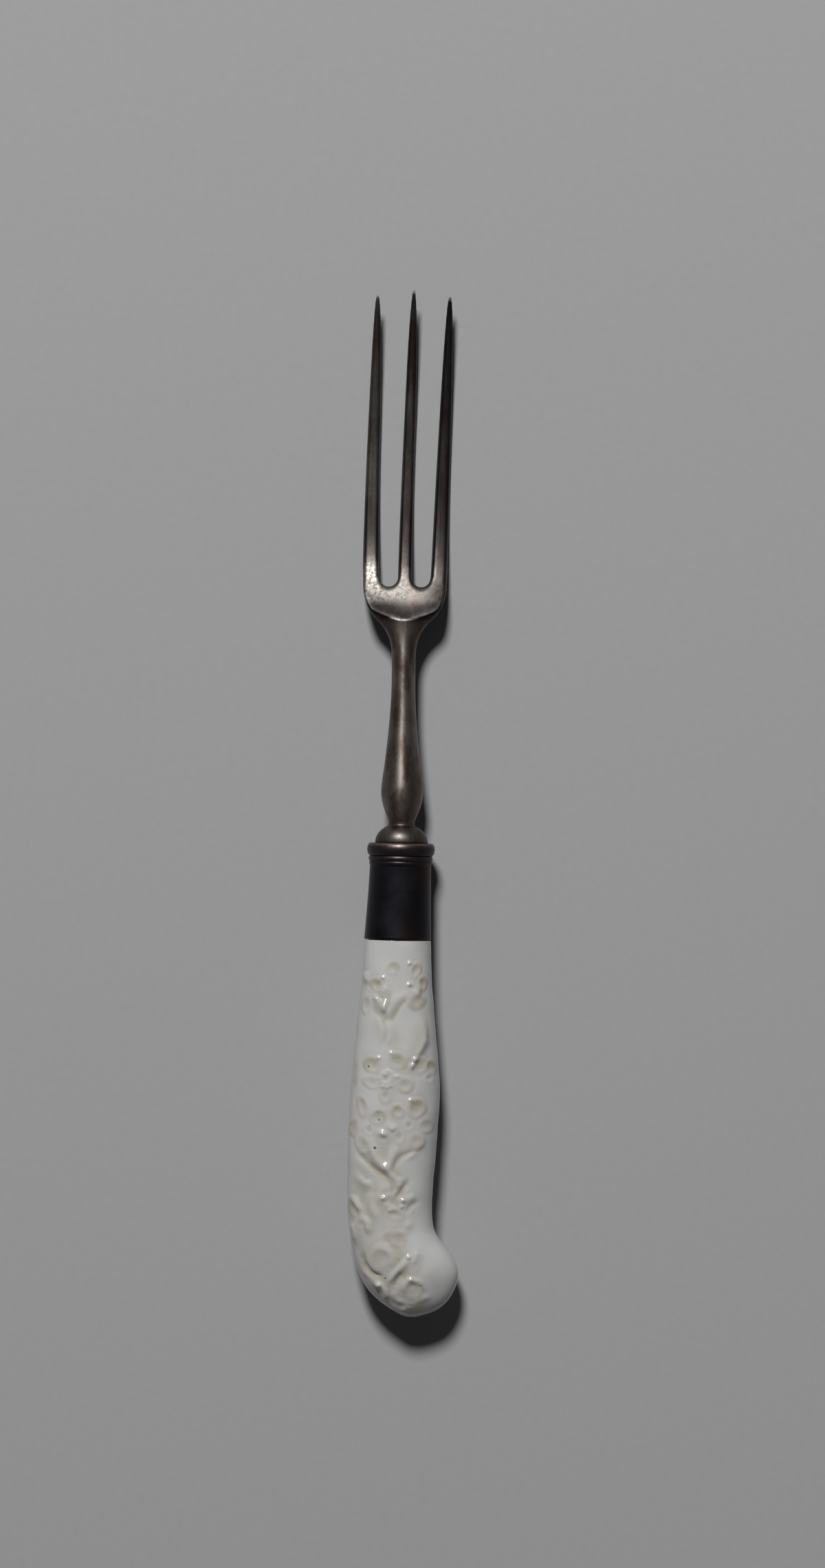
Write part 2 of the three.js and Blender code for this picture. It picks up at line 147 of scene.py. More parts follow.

# Wear of the steel, with painted sheen and painted shade on it: shares, half widths, and ranges in
# millimetres across or along the fork
LEFT_TO_RIGHT = (-6, 4)
# Rubbed bright steel with painted sheen: brightest to the left, dimmer to the right
RUB_AND_SHEEN_START = (1.8, 4.2)
RUB_AND_SHEEN_END_LEAD = 0.5
LEFT_RUB_AND_SHEEN_REACH = 5.6
RIGHT_RUB_AND_SHEEN_REACH = 3.5
MIDDLE_RUB_AND_SHEEN = 0.35
MIDDLE_RUB_AND_SHEEN_FALL = (-7, -1)
RIGHT_RUB_AND_SHEEN_LOSS = 0.15
RIGHT_RUB_AND_SHEEN_FALL = (1, 6)
EDGE_RUB_AND_SHEEN_LOSS = 0.7
EDGE_RUB_AND_SHEEN_FALL = (6.3, 7.6)
# A painted highlight along the crease's crest
CREST_HIGHLIGHT = 0.8
CREST_X = -0.9
CREST_LENGTH = 1.8
CREST_WIDTH = 0.25
OUTER_TINE_SIDE = (2, 4)
# Points rubbed bright, with a painted glint
TIP_RUB_AND_GLINT_START = 1.2
TIP_RUB_AND_GLINT_FULL = 0.4
BOLSTER_AGE = 0.6
BOLSTER_AGE_END = (-0.5, 1.5)
# Tarnish darkened just past the crease as painted shade
CREASE_TARNISH_SHADE_LEAD = 1.0
CREASE_TARNISH_SHADE_WIDTH = 2.4
LEFT_TINE_AGE = 0.78
TINE_AGE_LEAD = 4
# Painted shade on the steel: past the tines' roots, round the crease's ends, just past the crease and to
# the right
TINE_SHADE_REACH = 8
TINE_SHADE_START = (-1, 3)
CREASE_SHADE = 1.25
CREASE_SHADE_WIDTH = 0.8
CREASE_CLEAN_LENGTH = 2.4
RIGHT_SHADE = 0.75
RIGHT_SHADE_SIDE = (2, 5)
RIGHT_SHADE_START = (0, 4)
AHEAD_SHADE = 0.9
AHEAD_SHADE_START = (0, 0.6)
PLATE_SHADE = 0.36
PLATE_SHADE_SIDE = (-4, 5)

# Ferrule
FERRULE_LENGTH = 18.5
FERRULE_FLATTENING = 0.45
FERRULE_WALL = 0.5
FERRULE_SET = -0.28
FERRULE_SET_POWER = 1.5
BAND_END_HALF_WIDTH = 6.45
BAND_TOP_HALF_WIDTH = 5.89
BAND_FLARE_POWER = 1.4
BAND_BEAD_HEIGHT = 0.7
BAND_BEAD_RELIEF = 0.14
BAND_RUB = 0.08
BAND_RUB_HALF_WIDTH = 0.3
COLLAR_BORE = 5.35
COLLAR_GROOVE_WALL = 0.52
COLLAR_ROUND_HEIGHT = 2.45
COLLAR_ROUND_RELIEF = 0.62
COLLAR_BEAD_HEIGHT = 1.05
COLLAR_BEAD_RELIEF = 0.28
# The collar rubbed bright round its top edge, which is also a painted highlight
COLLAR_RUB_AND_SHEEN = 0.6
COLLAR_RUB_AND_SHEEN_Y = -0.2
COLLAR_RUB_AND_SHEEN_HALF_WIDTH = 0.35
COLLAR_LEAST_RUB = 0.12
CAP_THICKNESS = 0.75
CAP_RUB = 0.15
FIT_GAP = 0.25
FERRULE_SIDES = 160
FERRULE_EDGE_ROUND = 0.12
BAND_STEPS = 40
BAND_BEAD_STEPS = 12
BORE_STEPS = 8
BEAD_STEPS = 14
ROUND_STEPS = 26

# Grip
GRIP_SECTION_POWER = 2.25
KNOB_ROUNDING = 12
SHOULDER_GAP = 0.15
SHOULDER_SPREAD_LEFT = 0.3
SHOULDER_SPREAD_RIGHT = 0.12
SHOULDER_SPREAD_LENGTH = 10
GRIP_SIDES = 320
GRIP_STEP = 0.18
GRIP_SMOOTHING = 4
NECK_STEPS = 4
CAVITY_STEP = 2.0
BUTT_CAP_ANGLE = 0.03
MARGIN = 0.01
FAR = 100
OFF_MIDDLE = 0.001

neck_y = BOLSTER_HEIGHT * math.sqrt(1 - (NECK_RADIUS / BOLSTER_RADIUS) ** 2)
baluster_y = neck_y + NECK_HEIGHT + BALUSTER_RISE
shank_y = baluster_y + BALUSTER_TAPER
flare_y = shank_y + SHANK_LENGTH
crease_y = flare_y + FLARE_LENGTH
slot_y = crease_y + PLATE_LENGTH
low_y = slot_y + TINE_LOW_POINT
tip_y = slot_y + TINE_LENGTH
plate_half_width = TINE_PITCH_ROOT + OUTER_TINE_ROOT_WIDTH / 2
collar_end_y = -COLLAR_ROUND_HEIGHT - COLLAR_BEAD_HEIGHT
band_top_y = collar_end_y - BAND_BEAD_HEIGHT
shoulder_y = -FERRULE_LENGTH - SHOULDER_GAP


def mix(a, b, t):
    return a + (b - a) * t


def smoothstep(low, high, value):
    t = np.clip((value - low) / (high - low), 0, 1)
    return t * t * (3 - 2 * t)


def hump(value, half_width=1):
    """1 at zero, falling off on both sides."""
    return np.exp(-((value / half_width) ** 2))


def bulge(v, power):
    return np.sign(v) * np.abs(v) ** (2 / power)


def kernel_of(width):
    """Weights that smooth over a width, and how many there are on each side."""
    reach = int(3 * width)
    weights = np.exp(-0.5 * (np.arange(-reach, reach + 1) / width) ** 2)
    return weights / weights.sum(), reach


def smoothed(values, width):
    """A run of values smoothed along its length, with its ends kept in place."""
    kernel, reach = kernel_of(width)
    padded = np.pad(values, reach, mode="reflect", reflect_type="odd")
    return np.convolve(padded, kernel, mode="valid")


def blurred(grid, width):
    """A grid blurred along its first axis and round its second, which is closed."""
    kernel, reach = kernel_of(width)
    for axis, mode in enumerate(("edge", "wrap")):
        pad = [(0, 0), (0, 0)]
        pad[axis] = (reach, reach)
        padded = np.pad(grid, pad, mode=mode)
        grid = np.apply_along_axis(np.convolve, axis, padded, kernel, mode="valid")
    return grid


def srgb(*levels):
    """A colour given as 0 to 255 screen levels, as linear values."""
    return tuple(
        c / 12.92 if c <= 0.04045 else ((c + 0.055) / 1.055) ** 2.4 for c in (v / 255 for v in levels)
    ) + (1.0,)


def ring(y, width, height, power=2, x=0.0, bevel=0.0, sides=HEAD_SIDES):
    """A rounded section across the fork. A bevel slants its sides in towards the top."""
    angle = np.arange(sides) * 2 * math.pi / sides
    up = bulge(np.sin(angle), power)
    points = np.empty((sides, 3))
    points[:, 0] = x + (width - bevel * smoothstep(BEVEL_START, 1, up)) * bulge(np.cos(angle), power)
    points[:, 1] = y
    points[:, 2] = height * up
    return points


def skin(rings, closed=False):
    """Points and faces of a skin over rings. An open run is capped, a closed run joins its ends."""
    rings = np.asarray(rings)
    count, sides = rings.shape[:2]
    points = rings.reshape(-1, 3)
    index = np.arange(count * sides).reshape(count, sides)
    low = index if closed else index[:-1]
    high = np.roll(index, -1, axis=0) if closed else index[1:]
    faces = np.stack([low, high, np.roll(high, -1, axis=1), np.roll(low, -1, axis=1)], axis=-1)
    faces = faces.reshape(-1, 4).tolist()
    if not closed:
        ends = np.stack([rings[0].mean(axis=0), rings[-1].mean(axis=0)])
        first, last = len(points), len(points) + 1
        points = np.concatenate([points, ends])
        for i in range(sides):
            k = (i + 1) % sides
            faces.append([first, int(index[0, i]), int(index[0, k])])
            faces.append([last, int(index[-1, k]), int(index[-1, i])])
    return points, faces


def mesh_from(name, points, faces):
    mesh = bpy.data.meshes.new(name)
    mesh.from_pydata(points.tolist(), [], faces)
    mesh.update()
    return mesh


def add_object(name, data):
    obj = bpy.data.objects.new(name, data)
    bpy.context.scene.collection.objects.link(obj)
    return obj


def finished_mesh(obj):
    """The object's mesh with its modifiers applied. The object itself is removed."""
    bpy.context.view_layer.update()
    graph = bpy.context.evaluated_depsgraph_get()
    mesh = bpy.data.meshes.new_from_object(obj.evaluated_get(graph))
    bpy.data.objects.remove(obj)
    return mesh


def coordinates(mesh):
    flat = np.empty(len(mesh.vertices) * 3)
    mesh.vertices.foreach_get("co", flat)
    return flat.reshape(-1, 3)


def add_piece(name, mesh, material, slot, *nodes):
    """A piece of the fork, given in its own frame in millimetres, that stands for CAD nodes."""
    points = coordinates(mesh) * MM + ORIGIN
    mesh.vertices.foreach_set("co", points.ravel())
    mesh.polygons.foreach_set("use_smooth", np.ones(len(mesh.polygons), dtype=bool))
    mesh.materials.clear()
    mesh.materials.append(material)
    mesh.update()
    obj = add_object(name, mesh)
    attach(obj, BODY)
    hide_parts(*nodes)


def add_attribute(mesh, name, values):
    layer = mesh.attributes.new(name, "FLOAT", "POINT")
    layer.data.foreach_set("value", np.asarray(values, dtype=np.float32))


class Shader:
    """The nodes of a new material or world."""

    def __init__(self, name, owners=bpy.data.materials, surface="Principled BSDF"):
        self.owner = owners.new(name)
        self.owner.use_nodes = True
        self.tree = self.owner.node_tree
        self.surface = self.tree.nodes[surface]

    def node(self, kind, **inputs):
        node = self.tree.nodes.new("ShaderNode" + kind)
        for key, value in inputs.items():
            self.feed(node.inputs[key.replace("_", " ")], value)
        return node

    def feed(self, socket, value):
        if isinstance(value, bpy.types.NodeSocket):
            self.tree.links.new(value, socket)
        else:
            socket.default_value = value

    def noise(self, scale, detail, roughness=0.5, stretch=(1, 1, 1)):
        place = self.node("TexCoord").outputs["Object"]
        place = self.node("Mapping", Vector=place, Scale=stretch).outputs["Vector"]
        node = self.node("TexNoise", Vector=place, Scale=scale, Detail=detail, Roughness=roughness)
        return node.outputs["Fac"]

    def attribute(self, name):
        node = self.node("Attribute")
        node.attribute_name = name
        return node.outputs["Fac"]

    def ramp(self, value, low, high, to_low=0.0, to_high=1.0):
        """A value taken smoothly from one range to another."""
        node = self.node(
            "MapRange", Value=value, From_Min=low, From_Max=high, To_Min=to_low, To_Max=to_high
        )
        node.interpolation_type = "SMOOTHSTEP"
        return node.outputs["Result"]

    def math(self, operation, a, b):
        node = self.node("Math")
        node.operation = operation
        self.feed(node.inputs[0], a)
        self.feed(node.inputs[1], b)
        return node.outputs[0]

    def blend(self, share, a, b):
        node = self.node("Mix")
        node.data_type = "RGBA"
        self.feed(node.inputs["Factor"], share)
        self.feed(node.inputs["A"], a)
        self.feed(node.inputs["B"], b)
        return node.outputs["Result"]

    def bump(self, **inputs):
        return self.node("Bump", **inputs).outputs["Normal"]

    def set(self, **inputs):
        for key, value in inputs.items():
            self.feed(self.surface.inputs[key.replace("_", " ")], value)
        return self.owner


# Colours
STEM_BROWN = srgb(98, 89, 84)
STEM_GREY = srgb(122, 117, 112)
TINE_BROWN = srgb(50, 45, 42)
TINE_GREY = srgb(68, 65, 63)
RUST_BROWN = srgb(80, 56, 46)
STREAK_GREY = srgb(120, 115, 108)
PAINTED_SHADE_BLACK = srgb(30, 28, 29)
RUBBED_AND_SHEEN_LIGHT = srgb(152, 149, 143)
RUBBED_AND_SHEEN_DARK = srgb(98, 92, 86)
PIT_BROWN = srgb(38, 33, 30)
SILVER_BLACK = srgb(36, 35, 40)
SILVER_BLUE = srgb(50, 50, 56)
SILVER_BROWN = srgb(58, 44, 37)
SILVER_WORN_AND_SHEEN = srgb(136, 118, 108)
GLAZE_LIGHT = srgb(196, 196, 194)
GLAZE_SHADE = srgb(187, 186, 184)
GLAZE_BEIGE = srgb(172, 162, 143)
GLAZE_OLIVE = srgb(164, 160, 142)
GLAZE_DUST = srgb(140, 128, 110)
GLAZE_SPECK = srgb(52, 40, 32)
CEMENT_DARK = srgb(92, 66, 46)
CEMENT_LIGHT = srgb(124, 92, 64)
FLOOR_SHADE = srgb(160, 160, 161)
FLOOR_LIGHT = srgb(166, 166, 167)

# Fine texture of the surfaces: depths in metres, shares (the first for the painted shade on the steel),
# and ranges of noise and age
FINE_DEPTH = 0.00002
MOTTLE_DEPTH = 0.00001
CEMENT_DEPTH = 0.0001
PAINTED_SHADE_SHARE = 0.75
BROWN_SHARE = 0.75
DUST_SHARE = 0.25
CLOUDED = (0.35, 0.65)
AGED = (0.3, 0.9)


def steel_material():
    """Forged steel: dark brown tarnish in streaks, worn bright where it was rubbed, with painted sheen
    where it is rubbed and painted shade past the tines' roots, round the crease and to the right.
    """
    s = Shader("worn_steel")
    polish_and_sheen = s.attribute("polish_and_sheen")
    age_and_shade = s.attribute("age_and_shade")
    # painted shade: the tarnish darkened where the steel should fall dark
    painted_shade = s.math("MULTIPLY", s.attribute("painted_shade"), PAINTED_SHADE_SHARE)
    streaks = s.noise(scale=900, detail=4, roughness=0.6, stretch=(1, 0.06, 1))
    mottle = s.noise(scale=1300, detail=5, roughness=0.7)
    cloud = s.ramp(s.noise(scale=160, detail=3), *CLOUDED)
    rust = s.ramp(s.noise(scale=420, detail=4, roughness=0.6, stretch=(1, 0.4, 1)), 0.48, 0.62)
    rust = s.math("MULTIPLY", rust, s.ramp(age_and_shade, *AGED, 0.7, 0.1))
    pits = s.ramp(s.noise(scale=2600, detail=2), 0.6, 0.7)
    pits = s.math("MULTIPLY", pits, s.ramp(age_and_shade, *AGED, 0.3, 0.55))
    grain = s.ramp(mottle, 0.36, 0.64, -0.22, 0.22)
    # rubbed bright steel, with painted sheen on the plate, a painted highlight on the crest and painted
    # glints at the points
    rubbed = s.ramp(s.math("ADD", polish_and_sheen, grain), 0.0, 1.0)
    rubbed = s.math("MULTIPLY", rubbed, s.ramp(polish_and_sheen, 0.0, 0.2))
    stem = s.blend(cloud, STEM_BROWN, STEM_GREY)
    tines = s.blend(cloud, TINE_BROWN, TINE_GREY)
    tarnish = s.blend(age_and_shade, stem, tines)
    tarnish = s.blend(rust, tarnish, RUST_BROWN)
    tarnish = s.blend(s.ramp(streaks, 0.45, 0.75, 0.0, 0.35), tarnish, STREAK_GREY)
    # the painted shade darkens the tarnish
    tarnish = s.blend(painted_shade, tarnish, PAINTED_SHADE_BLACK)
    bright = s.blend(s.ramp(mottle, 0.38, 0.62), RUBBED_AND_SHEEN_LIGHT, RUBBED_AND_SHEEN_DARK)
    colour = s.blend(rubbed, tarnish, bright)
    colour = s.blend(pits, colour, PIT_BROWN)
    rough = s.math("ADD", s.ramp(mottle, 0.0, 1.0, 0.34, 0.5), s.ramp(rubbed, 0.0, 1.0, 0.0, 0.07))
    normal = s.bump(Height=streaks, Distance=FINE_DEPTH, Strength=0.3)
    normal = s.bump(Height=mottle, Distance=MOTTLE_DEPTH, Strength=0.3, Normal=normal)
    around = s.node("Tangent")
    around.direction_type = "RADIAL"
    around.axis = "Y"
    turned_finish = s.ramp(age_and_shade, 0.0, 0.3, 0.5, 0.0)
    s.set(Anisotropic=turned_finish, Anisotropic_Rotation=0.25, Tangent=around.outputs["Tangent"])
    return s.set(Base_Color=colour, Roughness=rough, Metallic=1.0, Normal=normal)


def silver_material():
    """Silver gone nearly black, a little blue, with brown tarnish and rubbed edges, and a painted
    highlight along the collar's top edge.
    """
    s = Shader("blackened_silver")
    cloud = s.noise(scale=220, detail=4, roughness=0.55)
    fine = s.noise(scale=1800, detail=3, roughness=0.6)
    brown = s.math("MULTIPLY", s.ramp(s.noise(scale=90, detail=2), 0.5, 0.68), BROWN_SHARE)
    # rubbed silver, with a painted highlight round the collar's top edge
    worn = s.math("MULTIPLY", s.attribute("rub_and_sheen"), s.ramp(fine, 0.3, 0.6, 0.5, 1.0))
    colour = s.blend(cloud, SILVER_BLACK, SILVER_BLUE)
    colour = s.blend(brown, colour, SILVER_BROWN)
    colour = s.blend(worn, colour, SILVER_WORN_AND_SHEEN)
    rough = s.ramp(cloud, 0.2, 0.8, 0.34, 0.46)
    normal = s.bump(Height=fine, Distance=FINE_DEPTH, Strength=0.35)
    return s.set(Base_Color=colour, Roughness=rough, Metallic=1.0, Normal=normal)


def porcelain_material():
    """Thick glossy glaze, beige where it pools in the relief, with small dark specks."""
    s = Shader("glazed_porcelain")
    cloud = s.noise(scale=120, detail=3)
    warm = s.ramp(s.noise(scale=260, detail=2), 0.4, 0.6)
    dust = s.ramp(s.noise(scale=2400, detail=1, roughness=0.4), 0.72, 0.78)
    patchy = s.ramp(s.noise(scale=420, detail=3), *CLOUDED, 0.6, 1.0)
    body = s.blend(cloud, GLAZE_LIGHT, GLAZE_SHADE)
    deep = s.blend(warm, GLAZE_BEIGE, GLAZE_OLIVE)
    colour = s.blend(s.math("MULTIPLY", s.attribute("pool"), patchy), body, deep)
    colour = s.blend(s.math("MULTIPLY", dust, DUST_SHARE), colour, GLAZE_DUST)
    colour = s.blend(s.attribute("speck"), colour, GLAZE_SPECK)
    rough = s.ramp(cloud, 0.2, 0.8, 0.1, 0.17)
    normal = s.bump(Height=s.noise(scale=900, detail=2), Distance=FINE_DEPTH, Strength=0.15)
    s.set(IOR=1.5, Coat_Weight=0.3, Coat_Roughness=0.06)
    return s.set(Base_Color=colour, Roughness=rough, Normal=normal)


def cement_material():
    """Set rosin cement, brown and grainy."""
    s = Shader("rosin_cement")
    grain = s.noise(scale=900, detail=4, roughness=0.6)
    colour = s.blend(grain, CEMENT_DARK, CEMENT_LIGHT)
    normal = s.bump(Height=grain, Distance=CEMENT_DEPTH, Strength=0.5)
    return s.set(Base_Color=colour, Roughness=0.75, Normal=normal)


def floor_material():
    """Plain pale paper."""
    s = Shader("pale_floor")
    fibre = s.noise(scale=700, detail=3, roughness=0.6)
    colour = s.blend(fibre, FLOOR_SHADE, FLOOR_LIGHT)
    return s.set(Base_Color=colour, Roughness=0.9, Specular_IOR_Level=0.1)


# Head
def tine_half_thickness(share):
    return mix(TINE_POINT_WIDTH / 2, TINE_ROOT_THICKNESS / 2, (1 - share) ** TINE_TAPER_POWER)


def head_x(y):
    """Sideways set of the head at Y."""
    shank = mix(BOLSTER_SET, SHANK_SET, np.clip(y / crease_y, 0, 1))
    return mix(shank, TINE_SET, smoothstep(slot_y, tip_y, y))


def crease_lead(x):
    """How far the crease curves forwards at X."""
    return CREASE_CURVE * ((x - SHANK_SET) ** 2 - (FLARE_HALF_WIDTH / 2) ** 2)


def past_crease(x, y):
    """Distance along the fork past the curved crease."""
    return y - crease_y - crease_lead(x)


def blade_z(x, y):
    """Height of the blade's mid-surface: it falls from a curved crease to the table, then rises."""
    low = TABLE_Z + tine_half_thickness(TINE_LOW_POINT / TINE_LENGTH)
    start = crease_y + crease_lead(x) * (1 - smoothstep(crease_y, slot_y, y))
    past = y - start
    past = (past + np.sqrt(past**2 + CREASE_SOFTNESS**2)) / 2
    fall = low * (1 - np.clip(1 - past / (low_y - start), 0, 1) ** 2)
    rise = TINE_TIP_RISE * (np.maximum(0, y - low_y) / (tip_y - low_y)) ** 2
    crowned = smoothstep(crease_y, slot_y, y) * (1 - smoothstep(slot_y, low_y, y))
    return fall + rise - PLATE_CROWN * (x - SHANK_SET) ** 2 * crowned


def plate_edge(y):
    """Half the width of the plate at Y."""
    ahead = (slot_y - y) / PLATE_LENGTH
    return mix(plate_half_width, FLARE_HALF_WIDTH, max(0.0, ahead) ** PLATE_SHOULDER_POWER)


def head_body():
    """Tang, bolster, baluster, shank, shoulder and plate, with the blade still straight."""
    rings = []

    def add(y, width, height, power=2, bevel=0.0):
        rings.append(ring(y, width, height, power, x=head_x(y), bevel=bevel))

    add(-TANG_LENGTH, TANG_TIP_HALF_SIZE, TANG_TIP_HALF_SIZE, TANG_SECTION_POWER)
    add(0, TANG_HALF_WIDTH, TANG_HALF_THICKNESS, TANG_SECTION_POWER)
    for t in np.linspace(0, 1, DOME_STEPS):
        angle = t * math.acos(NECK_RADIUS / BOLSTER_RADIUS)
        width = BOLSTER_RADIUS * math.cos(angle)
        add(BOLSTER_HEIGHT * math.sin(angle), width, width - FERRULE_FLATTENING * (1 - t))
    stations = np.linspace(neck_y + NECK_HEIGHT, shank_y, STEM_STEPS)
    rise = np.sin(np.clip(1 - (baluster_y - stations) / BALUSTER_RISE, 0, 1) * math.pi / 2)
    taper = np.clip((shank_y - stations) / BALUSTER_TAPER, 0, 1) ** BALUSTER_TAPER_POWER
    radii = np.where(
        stations < baluster_y,
        mix(NECK_RADIUS, BALUSTER_RADIUS, rise),
        mix(SHANK_RADIUS, BALUSTER_RADIUS, taper),
    )
    for y, radius in zip(stations, smoothed(radii, BALUSTER_SMOOTHING)):
        add(y, radius, radius)
    for t in np.linspace(0, 1, BLADE_STEPS):
        add(
            mix(flare_y, crease_y, t),
            mix(SHANK_RADIUS, FLARE_HALF_WIDTH, t**FLARE_POWER),
            mix(SHANK_RADIUS, CREASE_HALF_THICKNESS, t),
            mix(2, CREASE_SECTION_POWER, t),
        )
    for t in np.linspace(0, 1, BLADE_STEPS)[1:]:
        y = mix(crease_y, slot_y, t)
        add(
            y,
            plate_edge(y),
            mix(TINE_ROOT_THICKNESS / 2, CREASE_HALF_THICKNESS, (1 - t) ** 2),
            mix(CREASE_SECTION_POWER, PLATE_SECTION_POWER, min(1, 2 * t)),
            TINE_BEVEL * t,
        )
    return mesh_from("head_body", *skin(rings))


def tine(side):
    """The left, middle or right tine (-1, 0 or 1), still straight, with its root inside the plate."""
    length = TINE_LENGTH - abs(side) * OUTER_TINE_SHORTFALL
    root_half = (OUTER_TINE_ROOT_WIDTH if side else MIDDLE_TINE_ROOT_WIDTH) / 2
    power = OUTER_TINE_TAPER_POWER if side else MIDDLE_TINE_TAPER_POWER
    point_ease = OUTER_TINE_POINT_EASE if side else MIDDLE_TINE_POINT_EASE
    rings = []
    for t in np.linspace(0, 1, BURIED_STEPS)[:-1]:
        y = slot_y - TINE_BURIED_LENGTH * (1 - t)
        half_width = root_half * mix(TINE_BURIED_WIDTH, 1, t)
        half_height = TINE_ROOT_THICKNESS / 2 * mix(TINE_BURIED_HEIGHT, 1, t)
        x = head_x(y) + side * (plate_edge(y) - TINE_BURIED_DEPTH * (1 - t) - half_width)
        rings.append(ring(y, half_width, half_height, TINE_SECTION_POWER, x=x, bevel=TINE_BEVEL * t))
    for t in np.linspace(0, 1, TINE_STEPS):
        share = 1 - (1 - t) ** TINE_STEP_CROWDING
        y = slot_y + share * length
        half_width = mix(TINE_POINT_WIDTH / 2, root_half, (1 - share) ** power)
        half_width *= 1 - point_ease * math.exp(-(1 - share) * length / TINE_POINT_LENGTH)
        section = mix(TINE_SECTION_POWER, TINE_TIP_SECTION_POWER, share)
        x = head_x(y) + side * mix(TINE_PITCH_ROOT, TINE_PITCH_TIP, math.sqrt(share))
        bevel = min(TINE_BEVEL, half_width / 2)
        rings.append(ring(y, half_width, tine_half_thickness(share), section, x=x, bevel=bevel))
    return mesh_from("tine", *skin(rings))


def slot_end(side):
    """A spool that rounds the end of one slot, with its edges eased at both faces."""
    radius = (TINE_PITCH_ROOT - OUTER_TINE_ROOT_WIDTH / 2 - MIDDLE_TINE_ROOT_WIDTH / 2) / 2
    centre = MIDDLE_TINE_ROOT_WIDTH / 2 + radius
    face = TINE_ROOT_THICKNESS / 2
    upper = []
    for t in np.linspace(0, 1, SLOT_EDGE_STEPS):
        angle = t * math.pi / 2
        reach = radius + SLOT_EDGE_ROUND * (1 - math.cos(angle))
        upper.append((reach, face - SLOT_EDGE_ROUND * (1 - math.sin(angle))))
    upper.append((radius + SLOT_EDGE_ROUND + SLOT_OVERRUN, face + SLOT_OVERRUN))
    profile = [(r, -h) for r, h in reversed(upper)] + upper
    points, faces = skin([ring(h, r, r) for r, h in profile])
    points = points[:, [0, 2, 1]] * (1, -1, 1)
    points += (head_x(slot_y) + side * centre, slot_y, 0)
    return mesh_from("slot_end", points, faces)


def head_mesh():
    """The whole forging: body and tines fused, the slots' ends rounded, and the blade bent."""
    body = add_object("head_body", head_body())
    cutters = [add_object("slot_end", slot_end(side)) for side in (-1, 1)]
    for cutter in cutters:
        cut = body.modifiers.new("slot", "BOOLEAN")
        cut.operation = "DIFFERENCE"
        cut.solver = "EXACT"
        cut.object = cutter
    body_mesh = finished_mesh(body)
    for cutter in cutters:
        bpy.data.objects.remove(cutter)
    joined = bmesh.new()
    joined.from_mesh(body_mesh)
    for side in (-1, 0, 1):
        joined.from_mesh(tine(side))
    mesh = bpy.data.meshes.new("head")
    joined.to_mesh(mesh)
    joined.free()
    obj = add_object("head_parts", mesh)
    fuse = obj.modifiers.new("fuse", "REMESH")
    fuse.mode = "VOXEL"
    fuse.voxel_size = HEAD_VOXEL
    ease = obj.modifiers.new("ease", "SMOOTH")
    ease.factor = HEAD_SMOOTHING_FACTOR
    ease.iterations = HEAD_SMOOTHING
    mesh = finished_mesh(obj)
    points = coordinates(mesh)
    x, y = points[:, 0], points[:, 1]
    points[:, 2] += blade_z(x, y)
    points[:, 2] = np.maximum(points[:, 2], TABLE_Z)
    mesh.vertices.foreach_set("co", points.ravel())
    # rubbed steel with painted sheen
    add_attribute(mesh, "polish_and_sheen", polish_and_sheen_of(x, y))
    # tarnish, darker just past the crease as painted shade
    add_attribute(mesh, "age_and_shade", age_and_shade_of(x, y))
    # painted shade on the steel
    add_attribute(mesh, "painted_shade", painted_shade_of(x, y))
    return mesh


def polish_and_sheen_of(x, y):
    """Where the steel is rubbed bright, with painted sheen, brightest to the left: the plate, the tines'
    roots and tips, and a painted highlight along the crease's crest.
    """
    reach = mix(LEFT_RUB_AND_SHEEN_REACH, RIGHT_RUB_AND_SHEEN_REACH, smoothstep(*LEFT_TO_RIGHT, x))
    level = mix(1.0, MIDDLE_RUB_AND_SHEEN, smoothstep(*MIDDLE_RUB_AND_SHEEN_FALL, x))
    level = level - RIGHT_RUB_AND_SHEEN_LOSS * smoothstep(*RIGHT_RUB_AND_SHEEN_FALL, x)
    level = level * (1 - EDGE_RUB_AND_SHEEN_LOSS * smoothstep(*EDGE_RUB_AND_SHEEN_FALL, x))
    front = smoothstep(*RUB_AND_SHEEN_START, y - crease_y)
    plate = level * front * (1 - smoothstep(slot_y - RUB_AND_SHEEN_END_LEAD, slot_y + reach, y))
    # painted highlight along the crease's crest
    crest = hump(past_crease(x, y), CREST_WIDTH) * hump(x - CREST_X, CREST_LENGTH)
    end_y = tip_y - OUTER_TINE_SHORTFALL * smoothstep(*OUTER_TINE_SIDE, np.abs(x))
    # points rubbed bright, with a painted glint
    tips = smoothstep(end_y - TIP_RUB_AND_GLINT_START, end_y - TIP_RUB_AND_GLINT_FULL, y)
    return np.clip(plate + CREST_HIGHLIGHT * crest + tips, 0, 1)


def age_and_shade_of(x, y):
    """How dark the tarnish is: light on the turned stem, darker on the bolster and tines, and darker just
    past the crease, which is painted shade.
    """
    bolster = BOLSTER_AGE * (1 - smoothstep(*BOLSTER_AGE_END, y - neck_y))
    # painted shade just past the crease
    shoulder = hump(past_crease(x, y) - CREASE_TARNISH_SHADE_LEAD, CREASE_TARNISH_SHADE_WIDTH)
    tines = mix(LEFT_TINE_AGE, 1.0, smoothstep(*LEFT_TO_RIGHT, x))
    tines = tines * smoothstep(flare_y, slot_y + TINE_AGE_LEAD, y)
    return np.maximum.reduce([tines, bolster, shoulder])


